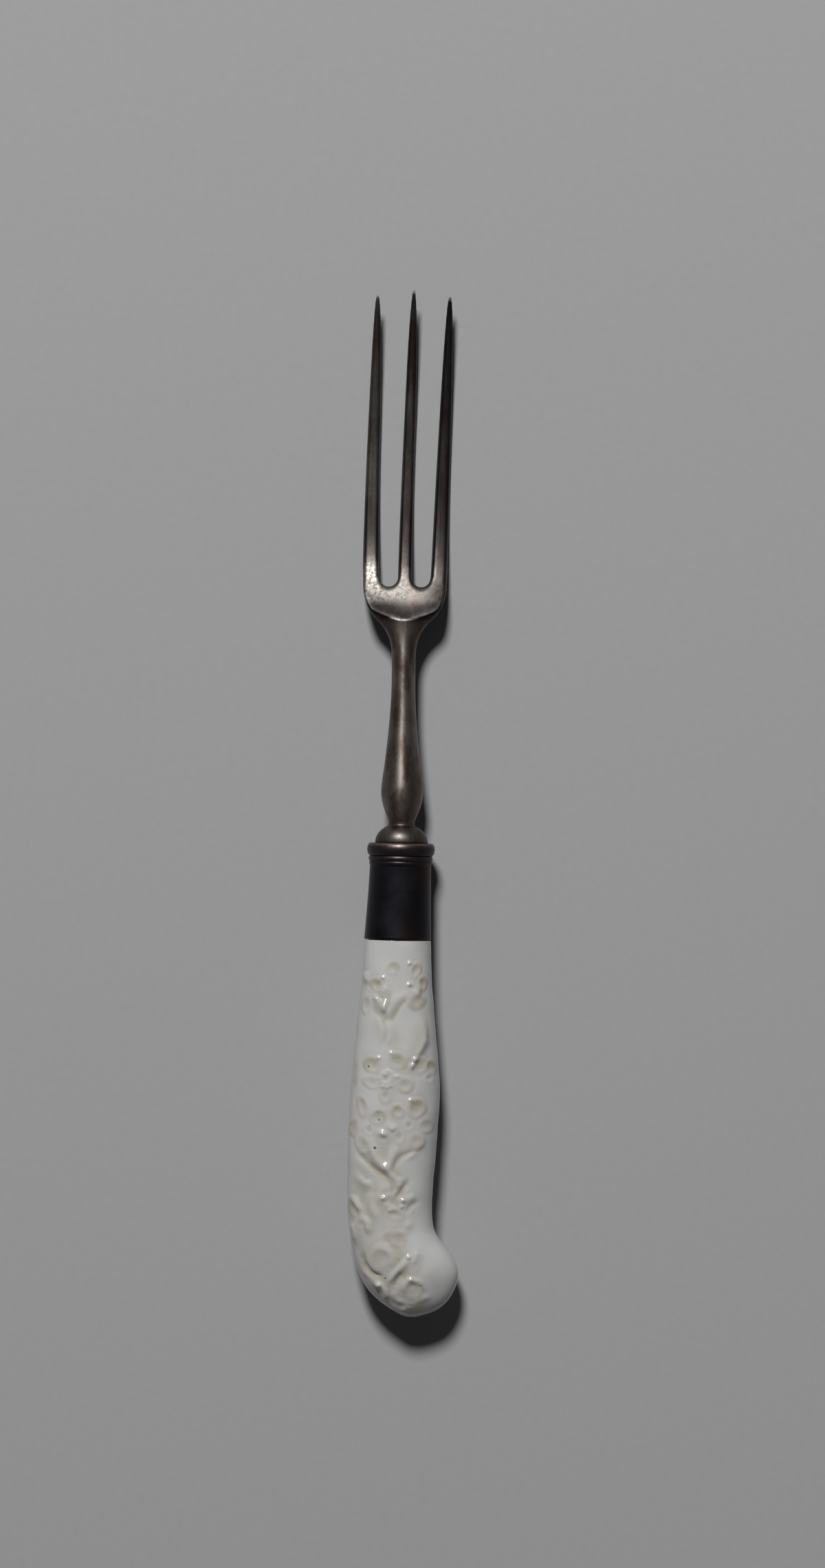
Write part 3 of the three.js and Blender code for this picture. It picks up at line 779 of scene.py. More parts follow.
def painted_shade_of(x, y):
    """Painted shade: the tarnish darkened past the tines' rubbed roots, to the right, round the crease's
    ends and just past the crease.
    """
    tines = hump(y - slot_y - TINE_SHADE_REACH, TINE_SHADE_REACH)
    tines = tines * smoothstep(*TINE_SHADE_START, y - slot_y)
    right = RIGHT_SHADE * smoothstep(*RIGHT_SHADE_SIDE, x) * smoothstep(*RIGHT_SHADE_START, y - slot_y)
    beside = 1 - hump(x - CREST_X, CREASE_CLEAN_LENGTH)
    crease = CREASE_SHADE * hump(past_crease(x, y), CREASE_SHADE_WIDTH) * beside
    ahead = AHEAD_SHADE * smoothstep(*AHEAD_SHADE_START, past_crease(x, y))
    ahead = ahead * (1 - smoothstep(*RUB_AND_SHEEN_START, y - crease_y))
    plate = PLATE_SHADE * smoothstep(*PLATE_SHADE_SIDE, x) * smoothstep(crease_y, slot_y, y)
    return np.maximum.reduce([tines, right, crease, ahead, plate])


# Ferrule
def ferrule_x(y):
    """Sideways set of the ferrule at Y."""
    return FERRULE_SET * max(0.0, -y / FERRULE_LENGTH) ** FERRULE_SET_POWER


def ferrule_ring(y, width):
    return ring(y, width, width - FERRULE_FLATTENING, x=ferrule_x(y), sides=FERRULE_SIDES)


def half_round(y, height, ground, relief, count):
    """Outline of a half-round moulding, from Y upwards."""
    angles = np.linspace(0, math.pi, count)
    return [(y + height * (1 - math.cos(a)) / 2, ground + relief * math.sin(a)) for a in angles]


def band_half_width(y):
    share = np.clip((band_top_y - y) / (band_top_y + FERRULE_LENGTH), 0, 1)
    return mix(BAND_TOP_HALF_WIDTH, BAND_END_HALF_WIDTH, share**BAND_FLARE_POWER)


def ferrule_mesh(name, outline, rub_and_sheen_y, rub_and_sheen_half_width, rub_and_sheen, least_rub=0.0):
    """A closed ring from an outline of (y, half width) pairs, rubbed most at one height, where on the
    collar the rub is also a painted highlight.
    """
    points, faces = skin([ferrule_ring(y, width) for y, width in outline], closed=True)
    mesh = mesh_from(name, points, faces)
    add_attribute(mesh, "rub_and_sheen", least_rub + rub_and_sheen * hump(points[:, 1] - rub_and_sheen_y, rub_and_sheen_half_width))
    return mesh


def collar_mesh():
    ground = COLLAR_BORE + COLLAR_GROOVE_WALL
    bead = half_round(collar_end_y, COLLAR_BEAD_HEIGHT, ground, COLLAR_BEAD_RELIEF, BEAD_STEPS)
    torus = half_round(-COLLAR_ROUND_HEIGHT, COLLAR_ROUND_HEIGHT, ground, COLLAR_ROUND_RELIEF, ROUND_STEPS)
    outline = bead + torus[1:] + [(0.0, COLLAR_BORE), (collar_end_y, COLLAR_BORE)]
    # the collar's top edge: rubbed, with a painted highlight
    return ferrule_mesh(
        "collar", outline, COLLAR_RUB_AND_SHEEN_Y, COLLAR_RUB_AND_SHEEN_HALF_WIDTH, COLLAR_RUB_AND_SHEEN, COLLAR_LEAST_RUB
    )


def band_mesh():
    spigot = COLLAR_BORE - FIT_GAP
    bore_top = band_top_y - FERRULE_WALL
    bead_y = band_top_y + BAND_BEAD_HEIGHT / 2
    runs = np.linspace(-FERRULE_LENGTH + FERRULE_EDGE_ROUND, band_top_y, BAND_STEPS)
    bore = np.linspace(bore_top, -FERRULE_LENGTH, BORE_STEPS)
    edge = band_half_width(-FERRULE_LENGTH)
    outline = [(-FERRULE_LENGTH, edge - FERRULE_EDGE_ROUND)]
    outline += [(y, band_half_width(y)) for y in runs[:-1]]
    outline += half_round(
        band_top_y, BAND_BEAD_HEIGHT, BAND_TOP_HALF_WIDTH, BAND_BEAD_RELIEF, BAND_BEAD_STEPS
    )
    outline += [(collar_end_y, spigot), (-CAP_THICKNESS, spigot)]
    outline += [(-CAP_THICKNESS, spigot - FERRULE_WALL), (bore_top, spigot - FERRULE_WALL)]
    outline += [(y, band_half_width(y) - FERRULE_WALL) for y in bore]
    return ferrule_mesh("band", outline, bead_y, BAND_RUB_HALF_WIDTH, BAND_RUB)


def cap_mesh():
    spigot = COLLAR_BORE - FIT_GAP
    width = TANG_HALF_WIDTH + FIT_GAP
    height = TANG_HALF_THICKNESS + FIT_GAP
    rings = [ferrule_ring(-CAP_THICKNESS, spigot), ferrule_ring(0.0, spigot)]
    for y in (0.0, -CAP_THICKNESS):
        rings.append(ring(y, width, height, TANG_SECTION_POWER, x=head_x(y), sides=FERRULE_SIDES))
    mesh = mesh_from("cap", *skin(rings, closed=True))
    add_attribute(mesh, "rub_and_sheen", np.full(len(mesh.vertices), CAP_RUB))
    return mesh


# Relief of the grip. Places are millimetres across the fork's axis and along from the ferrule.
# Blossoms: the centre with its radius, then the petals, which are dished inside a low lip.
# Each petal has: across, along, half width, half length, turn in degrees, strength, tint.
# Cups, ovals and buds have one or two petals that face away from their centres.
BLOSSOMS = (
    # the one in the middle
    (
        (-1.9, 26.2, 1.15),
        (-4.6, 23.8, 1.55, 1.4, -25, 1.0, 0.5),
        (0.2, 23.2, 1.45, 1.55, 25, 1.0, 0.55),
        (1.75, 27.5, 1.5, 1.35, 10, 1.0, 0.4),
        (-1.85, 29.7, 1.15, 1.4, 0, 0.7, 0.15),
        (-4.6, 27.1, 1.6, 1.15, 5, 0.65, 0.0),
    ),
    # the lower left one
    (
        (-4.9, 36.3, 0.9),
        (-6.4, 32.0, 0.95, 1.9, -8, 0.9, 0.4),
        (-3.4, 33.7, 1.3, 1.4, 25, 0.9, 0.45),
        (-7.75, 36.1, 0.8, 1.6, 0, 0.7, 0.75),
        (-6.2, 39.3, 1.2, 1.8, -20, 0.9, 0.35),
        (-2.1, 37.6, 1.3, 1.05, 20, 0.4, 0.0),
    ),
    # the lower right one
    (
        (2.8, 35.1, 0.9),
        (0.3, 32.7, 1.15, 1.2, -30, 1.4, 0.75),
        (3.95, 32.0, 1.6, 1.75, 20, 1.2, 0.6),
        (6.0, 35.5, 1.4, 1.35, 0, 0.7, 0.2),
        (4.1, 38.3, 1.4, 1.5, -20, 0.8, 0.2),
        (0.9, 37.5, 1.0, 1.55, 30, 0.65, 0.05),
    ),
    # the one at the belly, mostly out of sight
    (
        (6.2, 26.4, 0.8),
        (4.5, 23.9, 1.3, 1.5, 20, 0.9, 0.45),
        (6.6, 24.3, 0.9, 1.3, 0, 0.8, 0.7),
    ),
    # the upper right one
    (
        (2.7, 8.8, 0.75),
        (3.2, 5.6, 0.95, 1.4, 10, 0.9, 0.35),
        (4.7, 8.3, 0.9, 1.25, 0, 0.9, 0.9),
        (3.5, 11.6, 1.5, 1.35, 0, 0.7, 0.6),
    ),
    # cups and ovals of the lower sprig
    ((0.3, 55.2, 0.4), (0.3, 52.6, 1.5, 0.95, 0, 0.6, 0.35)),
    ((0.3, 60.0, 0.4), (-0.6, 57.2, 1.5, 1.3, -20, 0.5, 0.2), (1.25, 57.1, 1.4, 1.25, 20, 0.5, 0.2)),
    ((-5.6, 51.2, 0.4), (-7.7, 51.2, 0.85, 1.9, -8, 0.6, 0.5)),
    ((-4.6, 55.4, 0.4), (-6.1, 54.6, 0.9, 1.0, 0, 0.4, 0.2)),
    ((-0.6, 63.6, 0.4), (-2.3, 60.8, 1.9, 2.4, 15, 0.9, 0.15)),
    ((3.8, 69.6, 0.4), (4.0, 66.6, 1.75, 1.6, 10, 0.9, 0.05)),
    # buds
    ((-1.5, 8.0, 0.4), (-1.2, 5.4, 1.1, 1.15, 0, 0.65, 0.5)),
    ((-3.0, 11.0, 0.4), (-3.95, 8.5, 1.05, 1.15, -15, 1.0, 0.75)),
    ((-3.5, 13.0, 0.4), (-6.0, 12.6, 0.8, 1.7, 0, 0.8, 0.25)),
)

# Places where the glaze ran thick and brown: points, half width, strength.
STAINS = (
    (((4.0, 7.6), (4.3, 9.6), (4.0, 11.4)), 0.55, 0.8),
    (((-8.0, 23.2), (-7.8, 25.6), (-7.6, 28.6)), 0.6, 0.8),
    (((-5.2, 41.1), (-3.2, 43.5), (-1.3, 45.0)), 0.4, 0.8),
    (((3.4, 61.8), (2.2, 63.7), (0.9, 66.0)), 0.5, 0.6),
    (((-6.0, 59.6), (-5.4, 61.2), (-4.6, 62.7), (-3.0, 64.0)), 0.6, 1.3),
    (((-4.0, 65.9), (-2.9, 66.9), (-2.0, 68.6)), 0.8, 0.7),
    (((2.0, 71.2), (4.5, 70.8), (6.6, 69.9)), 0.7, 0.5),
    (((7.2, 62.6), (8.2, 64.4), (8.6, 66.6)), 1.5, 0.3),
    (((5.4, 61.4), (5.3, 62.6), (4.8, 63.6)), 0.6, 0.5),
    (((5.4, 65.7), (5.7, 66.2), (5.7, 66.7)), 0.45, 0.8),
)

# Raised lines, or cut ones where the height is negative:
# points, half width or those on the left and on the right of the run, height.
RIDGES = (
    # upper sprig
    (((-2.4, 6.5), (-1.3, 6.9), (-0.3, 6.4)), 0.4, 0.04),
    (((-3.6, 9.9), (-2.75, 9.7), (-2.2, 8.7)), 0.4, 0.2),
    (((2.9, 10.2), (3.9, 9.7), (4.3, 8.4)), 0.4, 0.22),
    (((-6.6, 6.2), (-6.1, 7.2), (-5.7, 8.6)), 0.5, 0.4, 0.25),
    (((-5.6, 10.2), (-4.2, 11.2), (-3.1, 12.5), (-2.4, 14.2)), 0.4, 0.5, 0.32),
    (((-2.5, 11.2), (-2.45, 12.6), (-2.3, 14.2)), 0.3, 0.3),
    (((0.6, 9.6), (-0.5, 11.4), (-1.4, 13.4), (-1.8, 15.2)), 0.7, 0.45, 0.24),
    (((1.9, 9.9), (1.2, 10.6), (0.2, 11.4)), 0.45, 0.1),
    (((-1.9, 14.6), (-1.6, 17.4), (-1.6, 20.6)), 0.4, 0.35, 0.22),
    # edge of the right leaf
    (((5.5, 18.6), (5.1, 20.3), (4.2, 21.9), (2.9, 24.1)), 0.4, 0.26),
    # twigs below the blossoms
    (((-2.9, 36.3), (-2.2, 36.9), (-1.5, 37.5)), 0.35, 0.22),
    (((-1.3, 35.4), (-0.4, 35.9), (0.6, 35.6)), 0.35, 0.2),
    (((-4.6, 38.6), (-3.8, 41.0), (-2.2, 43.0), (-0.8, 44.6), (0.6, 46.8)), 0.45, 0.42),
    (((1.9, 37.8), (0.2, 40.2), (-0.6, 42.8), (-0.8, 44.7)), 0.45, 0.55, 0.32),
    (((5.0, 38.2), (3.6, 40.4), (2.6, 41.4)), 0.5, 0.16),
    (((-8.0, 43.6), (-6.8, 45.6), (-5.4, 46.6), (-4.1, 45.9)), 0.45, 0.7, 0.3),
    (((-3.4, 47.4), (-2.3, 49.1), (-1.4, 49.2), (-0.5, 48.0)), 0.35, 0.5, 0.28),
    (((0.9, 46.2), (0.9, 47.8), (-0.1, 49.6)), 0.5, 0.26),
    (((0.9, 51.4), (1.8, 49.8), (3.0, 49.2), (4.5, 49.0)), 0.5, 0.55, 0.2),
    (((-1.6, 50.2), (-0.3, 51.2), (0.9, 51.4)), 0.4, 0.22),
    # leaves at the back of the waist
    (((-8.4, 49.1), (-7.0, 50.2), (-6.1, 52.4)), 0.35, 0.5, 0.3),
    (((-7.1, 53.5), (-5.3, 53.6), (-4.7, 54.8), (-4.5, 56.3)), 0.35, 0.4, 0.28),
    (((-8.1, 54.6), (-7.2, 55.9), (-6.9, 58.0)), 0.4, 0.24),
    (((-4.4, 48.0), (-4.0, 50.6), (-3.2, 53.4)), 0.5, 0.18),
    # butt
    (((-7.3, 58.6), (-6.4, 61.0), (-5.0, 63.2), (-2.8, 65.4)), 0.8, 0.6, 0.24),
    (((-6.2, 58.2), (-5.5, 61.1), (-4.5, 62.7), (-2.9, 63.9), (-1.2, 64.3)), 0.27, 0.5, -0.4),
    (((-3.6, 65.4), (-2.2, 66.0), (-1.4, 67.2), (-1.0, 69.2)), 0.4, 0.34),
    (((-2.2, 58.8), (-0.7, 59.8), (-0.15, 61.2), (-0.3, 62.8)), 0.4, 0.2),
    (((3.1, 60.4), (1.3, 63.1), (-0.7, 65.9)), 0.32, 0.3),
    (((4.6, 59.4), (4.3, 60.6), (4.0, 61.8)), 0.35, 0.24),
    (((2.0, 67.4), (2.5, 65.8), (3.6, 64.8), (5.3, 65.2), (6.0, 66.4)), 0.38, 0.2),
    (((4.2, 68.8), (5.7, 68.6), (7.2, 68.1)), 0.5, 0.13),
    (((-0.1, 67.3), (0.8, 68.6), (2.4, 69.0)), 0.42, 0.2),
    (((0.2, 70.0), (1.8, 70.6), (3.2, 70.2)), 0.4, 0.16),
)

# Round lumps, or hollows where the height is negative: across, along, half sizes, turn, height.
LUMPS = (
    # broad pads under the leaves, the blossom and the bud
    (-6.6, 51.5, 1.5, 2.6, -15, 0.22),
    (-6.2, 55.9, 1.4, 2.2, 10, 0.2),
    (-3.4, 52.5, 0.9, 3.2, -8, 0.14),
    (0.8, 53.6, 2.0, 2.3, 0, 0.16),
    (-5.6, 43.6, 1.5, 2.6, -35, 0.16),
    (-1.9, 26.3, 2.6, 2.6, 0, 0.08),
    (3.6, 70.0, 2.6, 2.6, 0, 0.32),
    # small lumps and hollows
    (-1.65, 47.5, 1.1, 1.2, 0, 0.24),
    (1.1, 46.0, 0.8, 0.7, 0, 0.2),
    (2.9, 54.3, 0.7, 0.7, 0, 0.2),
    (1.9, 55.6, 0.8, 0.5, 0, 0.16),
    (-2.2, 60.9, 2.0, 2.5, 15, 0.22),
    (4.0, 66.8, 0.8, 0.7, 0, 0.16),
    (1.6, 64.6, 0.7, 1.2, 35, -0.16),
    (0.5, 58.6, 1.9, 2.0, 0, -0.16),
)

# Broad leaves that rise to an edge on their right: across, along, half sizes, turn, height.
LEAVES = (
    (-4.7, 17.0, 2.2, 3.8, -6, 0.34),
    (2.3, 18.2, 3.4, 5.4, 14, 0.5),
)

# Cut lines: points, half width, depth.
GROOVES = (
    (((-7.4, 50.6), (-6.9, 52.0), (-6.9, 53.2)), 0.5, 0.14),
    (((2.4, 63.2), (1.2, 65.0), (0.5, 66.6)), 0.55, 0.3),
    (((2.4, 45.9), (1.4, 47.8), (0.3, 49.4)), 0.5, 0.36),
    (((4.4, 40.0), (2.6, 40.5), (1.2, 41.4), (0.4, 42.9), (-0.1, 44.4)), 0.5, 0.22),
    (((-6.9, 41.0), (-5.6, 42.1), (-2.9, 44.2), (-1.3, 45.7)), 0.5, 0.24),
    (((5.0, 49.9), (3.6, 50.5), (2.6, 51.6)), 0.5, 0.16),
    (((1.5, 10.7), (0.6, 12.2), (-0.2, 13.8), (-0.8, 15.4)), 0.45, 0.18),
)

# Stamens of the first blossom: number, ring radius, dot radius, height.
STAMENS = (8, 1.15, 0.26, 0.2)
STAMEN_CENTRE = BLOSSOMS[0][0][:2]

# Drops of glaze along the upper edges of the sprigs: across, along, height,
# and half sizes where they differ from the usual ones.
DROP_HALF_SIZES = (0.4, 0.38)
DROPS = (
    (2.14, 4.36, 0.27, 0.42, 0.38),
    (-2.94, 7.24, 0.26),
    (2.1, 8.45, 0.26, 0.42, 0.38),
    (-4.17, 11.23, 0.17, 0.34, 0.32),
    (-2.42, 12.9, 0.24, 0.4, 0.8),
    (-1.04, 21.56, 0.2),
    (-3.4, 22.53, 0.28),
    (3.38, 22.75, 0.34, 0.4, 0.45),
    (2.95, 23.95, 0.36, 0.42, 0.6),
    (-2.01, 25.68, 0.22),
    (0.24, 26.02, 0.2, 0.42, 0.38),
    (-2.49, 27.94, 0.24),
    (-1.69, 28.05, 0.21),
    (-1.04, 27.77, 0.2),
    (2.85, 30.46, 0.29),
    (-2.29, 37.1, 0.22, 0.8, 0.6),
    (-0.46, 36.16, 0.2),
    (-1.63, 43.18, 0.15, 0.4, 0.7),
    (-2.02, 49.27, 0.22, 0.45, 0.38),
    (1.82, 49.71, 0.25),
    (1.58, 50.91, 0.24),
    (-0.65, 51.62, 0.2),
    (3.11, 60.52, 0.3),
    (3.6, 64.73, 0.32, 0.42, 0.38),
    (-2.44, 65.91, 0.45, 0.55, 0.45),
)

# Small pits in the glaze: across, along, radius.
PITS = (
    (-5.3, 24.25, 0.18),
    (-3.05, 34.35, 0.16),
    (-3.7, 39.75, 0.28),
    (-3.4, 32.9, 0.1),
    (-1.2, 64.65, 0.15),
    (1.4, 61.0, 0.12),
    (3.9, 52.0, 0.1),
    (5.5, 65.9, 0.13),
    (-4.9, 35.6, 0.1),
)

# Petals: heights in millimetres, places and widths as shares of the petal's size
LIP_HEIGHT = 0.11
LIP_PLACE = 0.9
LIP_WIDTH = 0.32
LIP_TURN = 0.5
INNER_LIP = 0.5
DISH_DEPTH = 0.12
DISH_FLOOR = 0.1
DISH_EDGE = 0.95
MOAT_DEPTH = 0.045
MOAT_PLACE = 1.35
MOAT_WIDTH = 0.22
INSIDE_TINT = 0.27
INSIDE_EDGE = (0.85, 1.2)
INNER_TINT = 0.35
OUTER_TINT = 1.25
OUTLINE_TINT = 0.35
OUTLINE_SHARE = 0.45
OUTLINE_PLACE = 1.12
OUTLINE_WIDTH = 0.16
CENTRE_HEIGHT = 0.07
CENTRE_RIM = 0.3
CENTRE_DIMPLE = 0.6

# Leaves, as shares of their size
LEAF_RISE = (-0.7, 1)
LEAF_EDGE = (0.75, 1.1)

# Lines: spread, widths at both ends, and fades as shares of the length
LINE_SPREAD = 1.65
LINE_HEIGHT = 1.3
LINE_START = 1.2
LINE_END = 0.65
LINE_END_HEIGHT = 0.35
LINE_END_FADE = 0.2
SLOPED_START_FADE = 0.5
SLOPED_END_FADE = 0.25
CURVE_STEPS = 12

# How many times its own size a shape reaches
SHAPE_REACH = 3
DOT_REACH = 4

# Irregular places of the sprigs: distance, then the pitch and the start of the waves along and across
WARP = 0.16
WARP_ALONG = (0.9, 0.6)
WARP_ACROSS = (1.0, 2.0)

# Glaze
GLAZE_BLUR = 1.2
RELIEF_START = 1.2
WAVE_HEIGHT = 0.03
PIT_DEPTH = 0.07
PIT_EDGE_POWER = 4
POOL_SHARE = 0.75
POOL_BLUR = 5
POOL_DEPTH = (0.01, 0.1)
STAIN_SHARE = 0.4
STAIN_BLUR = 7
STAIN_HEIGHT = (0.02, 0.2)

# Slow waves of the glaze: pitch along, pitch across, start
WAVES = ((0.9, 0.5, 0.0), (-0.3, 0.55, 1.0), (0.47, -0.8, 2.0))

# Mould seam along both sides of the grip: shares of the half height where the relief starts and is full
SEAM_PLAIN = 0.08
SEAM_FULL = 0.42


def curve_through(points):
    """Points along a smooth curve through the given ones."""
    p = np.asarray(points, dtype=float)
    p = np.vstack([2 * p[0] - p[1], p, 2 * p[-1] - p[-2]])
    t = np.linspace(0, 1, CURVE_STEPS, endpoint=False)[:, None]
    runs = []
    for a, b, c, d in zip(p[:-3], p[1:-2], p[2:-1], p[3:]):
        square = 2 * a - 5 * b + 4 * c - d
        cube = 3 * b - a - 3 * c + d
        runs.append((2 * b + (c - a) * t + square * t**2 + cube * t**3) / 2)
    return np.vstack(runs + [p[-2:-1]])


def line_profile(x, s, points, left, right):
    """1 on the curve, falling off on each side and fading at both ends, more so if the sides differ."""
    path = curve_through(points)
    near = np.full(x.shape, np.inf)
    side = np.zeros(x.shape)
    place = np.zeros(x.shape)
    for i, (a, b) in enumerate(zip(path[:-1], path[1:])):
        run = b - a
        t = np.clip(((x - a[0]) * run[0] + (s - a[1]) * run[1]) / (run @ run), 0, 1)
        dx = x - a[0] - t * run[0]
        ds = s - a[1] - t * run[1]
        gap = dx * dx + ds * ds
        closer = gap < near
        near = np.where(closer, gap, near)
        side = np.where(closer, run[0] * ds - run[1] * dx, side)
        place = np.where(closer, (i + t) / (len(path) - 1), place)
    width = np.where(side < 0, left, right) * mix(LINE_START, LINE_END, place)
    height = np.exp(-near / width**2)
    if left == right:
        fade = smoothstep(0, LINE_END_FADE, place) * smoothstep(0, LINE_END_FADE, 1 - place)
        return height * mix(LINE_END_HEIGHT, 1.0, fade)
    return height * smoothstep(0, SLOPED_START_FADE, place) * smoothstep(0, SLOPED_END_FADE, 1 - place)


def turned(x, s, across, along, half_width, half_length, turn=0):
    """Places along an oval's own axes, as shares of its half sizes."""
    c, n = math.cos(math.radians(turn)), math.sin(math.radians(turn))
    dx, ds = x - across, s - along
    return (dx * c + ds * n) / half_width, (ds * c - dx * n) / half_length


def oval(*place):
    """Distance from the centre of an oval as a share of its size."""
    return np.hypot(*turned(*place))


def relief_of(x, s):
    """Height of the moulded sprigs over the plain grip, in millimetres, and the tint of the glaze."""
    height = np.zeros(x.shape)
    tint = np.zeros(x.shape)
    across_pitch, across_start = WARP_ACROSS
    along_pitch, along_start = WARP_ALONG
    x, s = (
        x + WARP * np.sin(along_pitch * s + along_start),
        s + WARP * np.sin(across_pitch * x + across_start),
    )

    def near(points, reach):
        p = np.asarray(points, dtype=float).reshape(-1, 2)
        low, high = p.min(axis=0) - reach, p.max(axis=0) + reach
        return np.nonzero((x > low[0]) & (x < high[0]) & (s > low[1]) & (s < high[1]))

    def round_shape(across, along, half_width, half_length, turn=0, reach=SHAPE_REACH):
        """The points near an oval, and their distances from its centre as shares of its size."""
        pick = near((across, along), reach * max(half_width, half_length))
        return pick, oval(x[pick], s[pick], across, along, half_width, half_length, turn)

    def line_shape(points, *widths):
        """The points near a line, and the share of its height at each."""
        pick = near(points, SHAPE_REACH * max(widths))
        return pick, line_profile(x[pick], s[pick], points, widths[0], widths[-1])

    for (middle_across, middle_along, middle_radius), *petals in BLOSSOMS:
        for across, along, half_width, half_length, turn, strength, colour in petals:
            pick, r = round_shape(across, along, half_width, half_length, turn)
            away = np.array([across - middle_across, along - middle_along])
            away /= np.linalg.norm(away)
            side = (x[pick] - across) * away[0] + (s[pick] - along) * away[1]
            outer = mix(INNER_LIP, 1.0, smoothstep(-half_width, LIP_TURN * half_width, side))
            lip = LIP_HEIGHT * outer * hump(r - LIP_PLACE, LIP_WIDTH)
            dish = DISH_DEPTH * (1 - smoothstep(DISH_FLOOR, DISH_EDGE, r))
            moat = MOAT_DEPTH * outer * hump(r - MOAT_PLACE, MOAT_WIDTH)
            height[pick] += strength * (lip - dish - moat)
            outline = OUTLINE_TINT + OUTLINE_SHARE * colour
            edge = outline * outer * hump(r - OUTLINE_PLACE, OUTLINE_WIDTH)
            inside = (colour + INSIDE_TINT) * (1 - smoothstep(*INSIDE_EDGE, r))
            inside *= mix(INNER_TINT, OUTER_TINT, smoothstep(-half_width, half_width, side))
            tint[pick] = np.maximum(tint[pick], np.maximum(edge, inside))
        pick, r = round_shape(middle_across, middle_along, middle_radius, middle_radius)
        height[pick] += CENTRE_HEIGHT * (hump(r - 1, CENTRE_RIM) - hump(r, CENTRE_DIMPLE))
    for points, width, strength in STAINS:
        pick, share = line_shape(points, width)
        tint[pick] = np.maximum(tint[pick], strength * share)
    for points, *widths, top in RIDGES:
        pick, share = line_shape(points, *(LINE_SPREAD * width for width in widths))
        height[pick] += LINE_HEIGHT * top * share
    for points, width, depth in GROOVES:
        pick, share = line_shape(points, width)
        height[pick] -= depth * share
    for *place, top in LUMPS:
        pick, r = round_shape(*place)
        height[pick] += top * hump(r)
    for *place, top in LEAVES:
        aside, ahead = turned(x, s, *place)
        edge = 1 - smoothstep(*LEAF_EDGE, np.hypot(aside, ahead))
        height += top * smoothstep(*LEAF_RISE, aside) ** 2 * (1 - np.clip(ahead, -1, 1) ** 2) * edge
    count, reach, dot, top = STAMENS
    for i in range(count):
        angle = 2 * math.pi * i / count
        across = STAMEN_CENTRE[0] + reach * math.cos(angle)
        along = STAMEN_CENTRE[1] + reach * math.sin(angle)
        pick, r = round_shape(across, along, dot, dot, reach=DOT_REACH)
        height[pick] += top * hump(r)
    return height, tint


def pits_of(x, s):
    """1 in the middle of a pit, with a steep edge."""
    depth = np.zeros(x.shape)
    for across, along, radius in PITS:
        r = oval(x, s, across, along, radius, radius)
        depth = np.maximum(depth, np.exp(-(r**PIT_EDGE_POWER)))
    return depth


def drops_of(x, s):
    """Height of the drops of glaze."""
    height = np.zeros(x.shape)
    for across, along, top, *half_sizes in DROPS:
        r = oval(x, s, across, along, *(half_sizes or DROP_HALF_SIZES))
        height = np.maximum(height, top * hump(r))
    return height


def waves_of(x, s):
    """Slow waves of the glaze, from -2 to 2."""
    first, second, third = (np.sin(along * s + across * x + start) for along, across, start in WAVES)
    return first * second + third


class Probe:
    """Measures a CAD node along straight lines, in the fork's own frame in millimetres."""

    def __init__(self, node):
        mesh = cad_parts[node].data
        vertices = (coordinates(mesh) - ORIGIN) / MM
        self.tree = BVHTree.FromPolygons(vertices.tolist(), [list(p.vertices) for p in mesh.polygons])

    def hit(self, start, direction):
        return self.tree.ray_cast(Vector(start), Vector(direction))[0]

    def section(self, y, left_x, right_x, top_z, way):
        """Lowest and highest X and the highest Z at Y, met on the way out (1) or in (-1)."""
        left = self.hit((left_x, y, OFF_MIDDLE), (-way, 0, 0)).x
        right = self.hit((right_x, y, OFF_MIDDLE), (way, 0, 0)).x
        top = self.hit(((left + right) / 2 + OFF_MIDDLE, y, top_z), (0, 0, way)).z
        return left, right, top

    def outside(self, y):
        return self.section(y, -FAR, FAR, FAR, -1)

    def inside(self, y, x):
        """The section of the hollow round a point on the axis of the grip."""
        return self.section(y, x, x, OFF_MIDDLE, 1)


def section_rings(stations, extents, power):
    """Rings of the grip from the lowest and highest X and the highest Z at each station."""
    rings = []
    for y, (left, right, top) in zip(stations, extents):
        rings.append(ring(y, (right - left) / 2, top, power, x=(left + right) / 2, sides=GRIP_SIDES))
    return np.array(rings)


def outward(rings):
    """Unit normals of the skin over rings, away from the middle of each ring."""
    run = np.gradient(rings, axis=0)
    turn = np.roll(rings, -1, axis=1) - np.roll(rings, 1, axis=1)
    normal = np.cross(run, turn)
    normal /= np.linalg.norm(normal, axis=2, keepdims=True)
    facing = np.sign((normal * (rings - rings.mean(axis=1, keepdims=True))).sum(axis=(1, 2)))
    return normal * facing[:, None, None]


